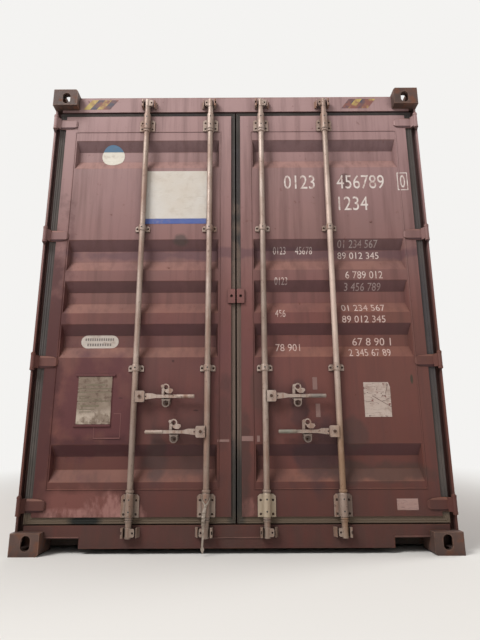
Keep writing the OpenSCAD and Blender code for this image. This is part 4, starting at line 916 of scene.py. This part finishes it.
def fasten(name, body, points, material, sizes, turn=TO_REAR, facets=12):
    """Fasteners on one body; their sizes are head radius, head height and washer radius."""
    piece = new_object(name, bpy.data.meshes.new(name))
    piece.data.from_pydata(points, [], [])
    maker = piece.modifiers.new("fasteners", "NODES")
    maker.node_group = FASTENERS
    values = {"Head radius": sizes[0], "Head height": sizes[1], "Washer radius": sizes[2], "Facets": facets,
              "Axis turn": turn, "Finish": material}
    for item in FASTENERS.interface.items_tree:
        if item.name in values:
            maker[item.identifier] = values[item.name]
    piece.data = plain_mesh(piece)
    piece.modifiers.clear()
    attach(piece, body)


# Dark bolts stand in the holes of the bearings' wings. A cradle has one bolt above and one below the handle,
# a hub has one rivet, and flat dark discs of painted shade fill the drain holes between the wings.
def rusty_steel():
    """Bolt steel gone brown, a little brighter at its edges."""
    material, shader, place = surface("rusty steel bolt", metallic=0.3)
    lay(shader, [
        ("#3C2D26", 0.7),
        ("#5A3B2B", 0.85, spots(place, 0.006, 0.5, 0.1), 0.8),
        ("#7D6C60", 0.5, edges(place, 0.002), 0.4),
    ])
    emboss(shader, [(spots(place, 0.003, 0.5, 0.3), 0.0005)])
    return material


RUSTY_BOLT = rusty_steel()
WING_BOLT_X = 0.034
BOLT_HEIGHTS = (0.2056, 0.2788, 1.015, 1.903, 2.6248, 2.6685)
CRADLE_X, CRADLE_FACE, CRADLE_BOLTS = 0.186, LEAF_FACE - 0.006, (0.046, -0.042)
DOOR_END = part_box("bottom_corner_castings")[0].y
DRAIN_HEIGHTS, DRAIN_Y = (0.2215, 0.2845, 1.015, 1.903, 2.6375, 2.6965), DOOR_END + 0.0165
RIVET_X, RIVET_Y = 0.034, DOOR_END + 0.005
# Flat dark discs in the drain holes: painted shade
HOLE_SHADE = film("dark discs of painted shade in drain holes", "#1E1916", "#2B2420", 0.2)
for side in ("left", "right"):
    bolts, small_bolts, drains = [], [], []
    for lock in (side + "_outer", side + "_inner"):
        rod, bar, way = LOCKS[lock]
        drains += [(rod, DRAIN_Y, z) for z in DRAIN_HEIGHTS]
        rivet = (rod + way * RIVET_X, RIVET_Y, bar)
        fasten(lock + "_hub_rivet", lock + "_rod", [rivet], RUSTY_BOLT,
               (0.005, 0.004, 0.009))
        for x in (rod - WING_BOLT_X, rod + WING_BOLT_X):
            bolts += [(x, LEAF_FACE, z) for z in BOLT_HEIGHTS]
        small_bolts += [(rod + way * CRADLE_X, CRADLE_FACE, bar + dz) for dz in CRADLE_BOLTS]
    fasten(side + "_bearing_bolts", side + "_door", bolts, RUSTY_BOLT,
           (0.0058, 0.0100, 0.0066))
    fasten(side + "_cradle_bolts", side + "_door", small_bolts, RUSTY_BOLT,
           (0.0055, 0.004, 0.0075))
    fasten(side + "_drain_hole_shade", side + "_door", drains, HOLE_SHADE, (0.003, 0.0010, 0.0047))

# A welded collar on every rod just above its foot bearing and just below its top bearing
ROD_Y = DOOR_END + 0.036
COLLAR_R, COLLAR_H, COLLAR_HEIGHTS = 0.0235, 0.014, (0.3275, 2.5965)
for lock in LOCKS:
    collars = bmesh.new()
    for z in COLLAR_HEIGHTS:
        at = Matrix.Translation((LOCKS[lock][0], ROD_Y, z))
        bmesh.ops.create_cone(collars, cap_ends=True, segments=28, radius1=COLLAR_R, radius2=COLLAR_R,
                              depth=COLLAR_H, matrix=at)
    collect(ROD_ZINC, lock + "_rod_collars", lock + "_rod", collars, bevel=0.004)

# Two screws at the top and two at the foot of each ventilator
low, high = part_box("side_vents")
VENT_HALF_W, SCREW_IN_Y, SCREW_IN_Z = 0.030, 0.010, 0.006
vent_screws = []
for x in (low.x, high.x):
    for middle in (low.y + VENT_HALF_W, high.y - VENT_HALF_W):
        for y in (middle - VENT_HALF_W + SCREW_IN_Y, middle + VENT_HALF_W - SCREW_IN_Y):
            vent_screws += [(x, y, low.z + SCREW_IN_Z), (x, y, high.z - SCREW_IN_Z)]
fasten("ventilator_screws", "container", vent_screws, RUSTY_BOLT,
       (0.0035, 0.002, 0.0045), turn=TO_SIDE)

# Flat screws through the boards into every cross member, set a little proud where wheels have worn the wood
low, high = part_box("plywood_floor")
FLOOR_SCREWS_X = (-1.10, -0.86, -0.60, -0.34, -0.10, 0.10, 0.34, 0.60, 0.86, 1.10)
BOARD_END, SUNK, MEMBER_W, FLAT = 0.02, 0.0012, 0.1, 0.001
member_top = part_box("cross_members")[1].z
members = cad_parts["cross_members"].data.vertices
rows = []
for y in sorted(v.co.y for v in members if v.co.z > member_top - FLAT):
    if rows and y - rows[-1][-1] < MEMBER_W:
        rows[-1].append(y)
    else:
        rows.append([y])
floor_screws = []
for row in rows:
    y = (row[0] + row[-1]) / 2
    if low.y + BOARD_END < y < high.y - BOARD_END:
        floor_screws += [(x, y, high.z - SUNK) for x in FLOOR_SCREWS_X]
fasten("floor_screws", "container", floor_screws, RUSTY_BOLT, (0.005, 0.0022, 0.0065), turn=UPWARDS,
       facets=8)

# Rivets of the data plate: three at its top and three at its foot, and two more at each side
RIVET_IN, RIVET_SHARES, RIVET_SEAT = 0.008, (0.44, 0.7), PANEL_FACE - 0.004
rivets = []
for x in (PLATE_X0 + RIVET_IN, (PLATE_X0 + PLATE_X1) / 2, PLATE_X1 - RIVET_IN):
    rivets += [(x, RIVET_SEAT, z) for z in (PLATE_Z0 + RIVET_IN, PLATE_Z1 - RIVET_IN)]
for x in (PLATE_X0 + RIVET_IN, PLATE_X1 - RIVET_IN):
    rivets += [(x, RIVET_SEAT, PLATE_Z0 + share * (PLATE_Z1 - PLATE_Z0)) for share in RIVET_SHARES]
fasten("data_plate_rivets", "left_door", rivets, PLATE_METAL, (0.003, 0.003, 0.004))


# Strap seal
# A moulded polypropylene seal on the left door: its strap goes from wing to wing across the foot bearing of
# the inner rod, is knotted in front of it, and its notched tail hangs down over the sill.
def strap_plastic():
    """Moulded plastic, once white, with painted shade in its corners."""
    material, shader, place = surface("dirty polypropylene", specular=0.4)
    lay(shader, [
        ("#9A8D81", 0.5),
        ("#786A5D", 0.65, spots(place, 0.02, 0.5, 0.12)),
        ("#4F4138", 0.8, corners(place, 0.01), 0.7),
    ])
    emboss(shader, [(spots(place, 0.002, 0.5, 0.3), 0.0003)])
    return material


def strip(mesh, path, width, thick):
    """A flat strap along points, each with the way its face looks."""
    rings = []
    for k, (point, face) in enumerate(path):
        along = Vector(path[min(k + 1, len(path) - 1)][0]) - Vector(path[max(k - 1, 0)][0])
        across = along.cross(Vector(face)).normalized() * (width[k] / 2)
        out = across.cross(along).normalized() * (thick / 2)
        rings.append([mesh.verts.new(Vector(point) + a + b) for a, b in (
            (across, out), (-across, out), (-across, -out), (across, -out))])
    for one, other in zip(rings, rings[1:]):
        for k in range(4):
            mesh.faces.new((one[k], one[(k + 1) % 4], other[(k + 1) % 4], other[k]))
    mesh.faces.new(rings[0][::-1])
    mesh.faces.new(rings[-1])


SEAL_X, STRAP_R, STRAP_W, STRAP_T = LOCKS["left_inner"][0], 0.0235, 0.009, 0.0014
STRAP_Z, STRAP_FALL, STEPS = 0.306, 0.052, 8
TAIL_T = 0.0018
seal = bmesh.new()
# The strap goes round the bearing from each side and comes down to the knot
for side in (-1, 1):
    path = []
    for k in range(STEPS + 1):
        a = math.radians(100 - 96 * k / STEPS) * side
        out_x, out_y = math.sin(a), -math.cos(a)
        z = STRAP_Z - STRAP_FALL * k / STEPS
        path.append(((SEAL_X + STRAP_R * out_x, ROD_Y + STRAP_R * out_y, z), (out_x, out_y, 0)))
    strip(seal, path, [STRAP_W] * len(path), STRAP_T)
TAIL = (
    # Width of the strap, its place across, its depth from the door end and its height
    (0.012, -0.168, 0.0115, 0.256), (0.015, -0.171, 0.0105, 0.243), (0.018, -0.176, 0.0085, 0.222),
    (0.019, -0.178, 0.0060, 0.196), (0.018, -0.180, 0.0030, 0.172), (0.014, -0.181, 0.0000, 0.148),
    (0.010, -0.180, -0.0025, 0.120), (0.010, -0.181, -0.0030, 0.085), (0.010, -0.183, -0.0030, 0.050),
    (0.020, -0.182, -0.0030, 0.036), (0.003, -0.181, -0.0030, 0.014),
)
strip(seal, [((x, DOOR_END + e, z), (0, -1, 0)) for _, x, e, z in TAIL], [row[0] for row in TAIL], TAIL_T)
# The knot and the swellings of the tail: place across, depth from the door end, height and radius
for x, e, z, r in ((-0.169, 0.0110, 0.253, 0.0095), (-0.175, 0.0080, 0.222, 0.0110),
                   (-0.179, 0.0055, 0.196, 0.0110), (-0.180, 0.0030, 0.175, 0.0105),
                   (-0.1805, 0.0015, 0.158, 0.0100)):
    knot = Matrix.Translation((x, DOOR_END + e, z)) @ Matrix.Diagonal((1, 0.5, 0.8, 1))
    bmesh.ops.create_icosphere(seal, subdivisions=2, radius=r, matrix=knot)
bmesh.ops.recalc_face_normals(seal, faces=seal.faces)
collect(strap_plastic(), "strap_seal", "left_door", seal, bevel=0.0003)


# Weld beads
# Fillet welds of the door panels to their frames and of the wall and roof sheets to each other.
def bead(mesh, start, end, radius):
    """A thin rounded bar from one point to another."""
    axis = Vector(end) - Vector(start)
    aim = axis.to_track_quat("Z", "Y").to_matrix().to_4x4()
    middle = Matrix.Translation((Vector(start) + Vector(end)) / 2) @ aim
    bmesh.ops.create_cone(mesh, cap_ends=True, segments=6, radius1=radius, radius2=radius,
                          depth=axis.length, matrix=middle)


BEAD, SILL_BEAD, SEAM_BEAD, SEAM_END = 0.0035, 0.004, 0.0025, 0.002
for side in ("left", "right"):
    low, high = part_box(side + "_door_panel")
    welds = bmesh.new()
    for z in (low.z, high.z):
        bead(welds, (low.x, low.y, z), (high.x, low.y, z), BEAD)
    for x in (low.x, high.x):
        bead(welds, (x, low.y, low.z), (x, low.y, high.z), BEAD)
    collect(DOOR_RED, side + "_door_welds", side + "_door", welds)

# Short beads along the face of the sill: between its two middle keepers and over its two notches
SILL_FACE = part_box("door_sill")[0].y
welds = bmesh.new()
for x0, x1, z in ((-0.134, 0.150, 0.083), (-1.057, -0.863, 0.0865), (0.863, 1.057, 0.0865)):
    bead(welds, (x0, SILL_FACE, z), (x1, SILL_FACE, z), SILL_BEAD)
# The beads' paint is pale: a painted highlight along them
WELD_HIGHLIGHT = red_paint("red paint on a weld, pale as a painted highlight", "#A98078", "#B9958E", 0.2)
collect(WELD_HIGHLIGHT, "sill_weld", "container", welds)

# Upright seams between the side sheets, on every fourth outer flat, and two between the front sheets
SIDE_SEAM_FIRST, SIDE_SEAM_STEP, SIDE_SEAMS, FRONT_SEAMS_X = -5.282, 1.112, 10, (-0.5, 0.5)
seams = bmesh.new()
for name in ("left_side_wall", "right_side_wall"):
    low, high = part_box(name)
    x = low.x if name.startswith("left") else high.x
    for k in range(SIDE_SEAMS):
        y = SIDE_SEAM_FIRST + k * SIDE_SEAM_STEP
        bead(seams, (x, y, low.z + SEAM_END), (x, y, high.z - SEAM_END), SEAM_BEAD)
low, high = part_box("front_wall")
for x in FRONT_SEAMS_X:
    bead(seams, (x, high.y, low.z + SEAM_END), (x, high.y, high.z - SEAM_END), SEAM_BEAD)
collect(WALL_RED, "wall_seam_welds", "container", seams)

# Seams across the roof, on every fifth flat between the ribs
ROOF_SEAM_FIRST, ROOF_SEAM_STEP, ROOF_SEAMS = -4.7025, 1.045, 10
ROOF_FLAT, ROOF_SEAM_X = 2.868, 1.15
seams = bmesh.new()
for k in range(ROOF_SEAMS):
    y = ROOF_SEAM_FIRST + k * ROOF_SEAM_STEP
    bead(seams, (-ROOF_SEAM_X, y, ROOF_FLAT), (ROOF_SEAM_X, y, ROOF_FLAT), SEAM_BEAD)
collect(WALL_RED, "roof_seam_welds", "container", seams)


# Seal lips
# The front lip of each door seal: stiff old rubber that slopes from the edge of the leaf back to the rim of
# the seal, with three rounded ribs all the way round.
LIP_IN, LIP_THICK, LIP_END, RIB, RIB_SHARES = 0.010, 0.003, 0.97, 0.0030, (0.22, 0.55, 0.85)
for side in ("left", "right"):
    low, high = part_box(side + "_door_seal")
    leaf_low, leaf_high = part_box(side + "_door_frame")

    def ring(share):
        """The four corners of the lip at a share of the way from the leaf to the rim."""
        x0, x1 = leaf_low.x + share * (low.x - leaf_low.x), leaf_high.x + share * (high.x - leaf_high.x)
        z0, z1 = leaf_low.z + share * (low.z - leaf_low.z), leaf_high.z + share * (high.z - leaf_high.z)
        y = leaf_low.y + LIP_IN + share * (low.y - leaf_low.y - LIP_IN)
        return [(x, y, z) for x, z in rectangle(x0, x1, z0, z1)]

    lips = bmesh.new()
    inner = [lips.verts.new(point) for point in ring(0.0)]
    rim = [lips.verts.new(point) for point in ring(LIP_END)]
    for k in range(4):
        lips.faces.new((inner[k], inner[(k + 1) % 4], rim[(k + 1) % 4], rim[k]))
    bmesh.ops.recalc_face_normals(lips, faces=lips.faces)
    for face in lips.faces:
        if face.normal.y > 0:
            face.normal_flip()
    collect(RUBBER, side + "_seal_lip", side + "_door", lips, thick=LIP_THICK)
    ribs = bmesh.new()
    for share in RIB_SHARES:
        points = ring(share)
        for k in range(4):
            bead(ribs, points[k], points[(k + 1) % 4], RIB)
    collect(RUBBER, side + "_seal_ribs", side + "_door", ribs)
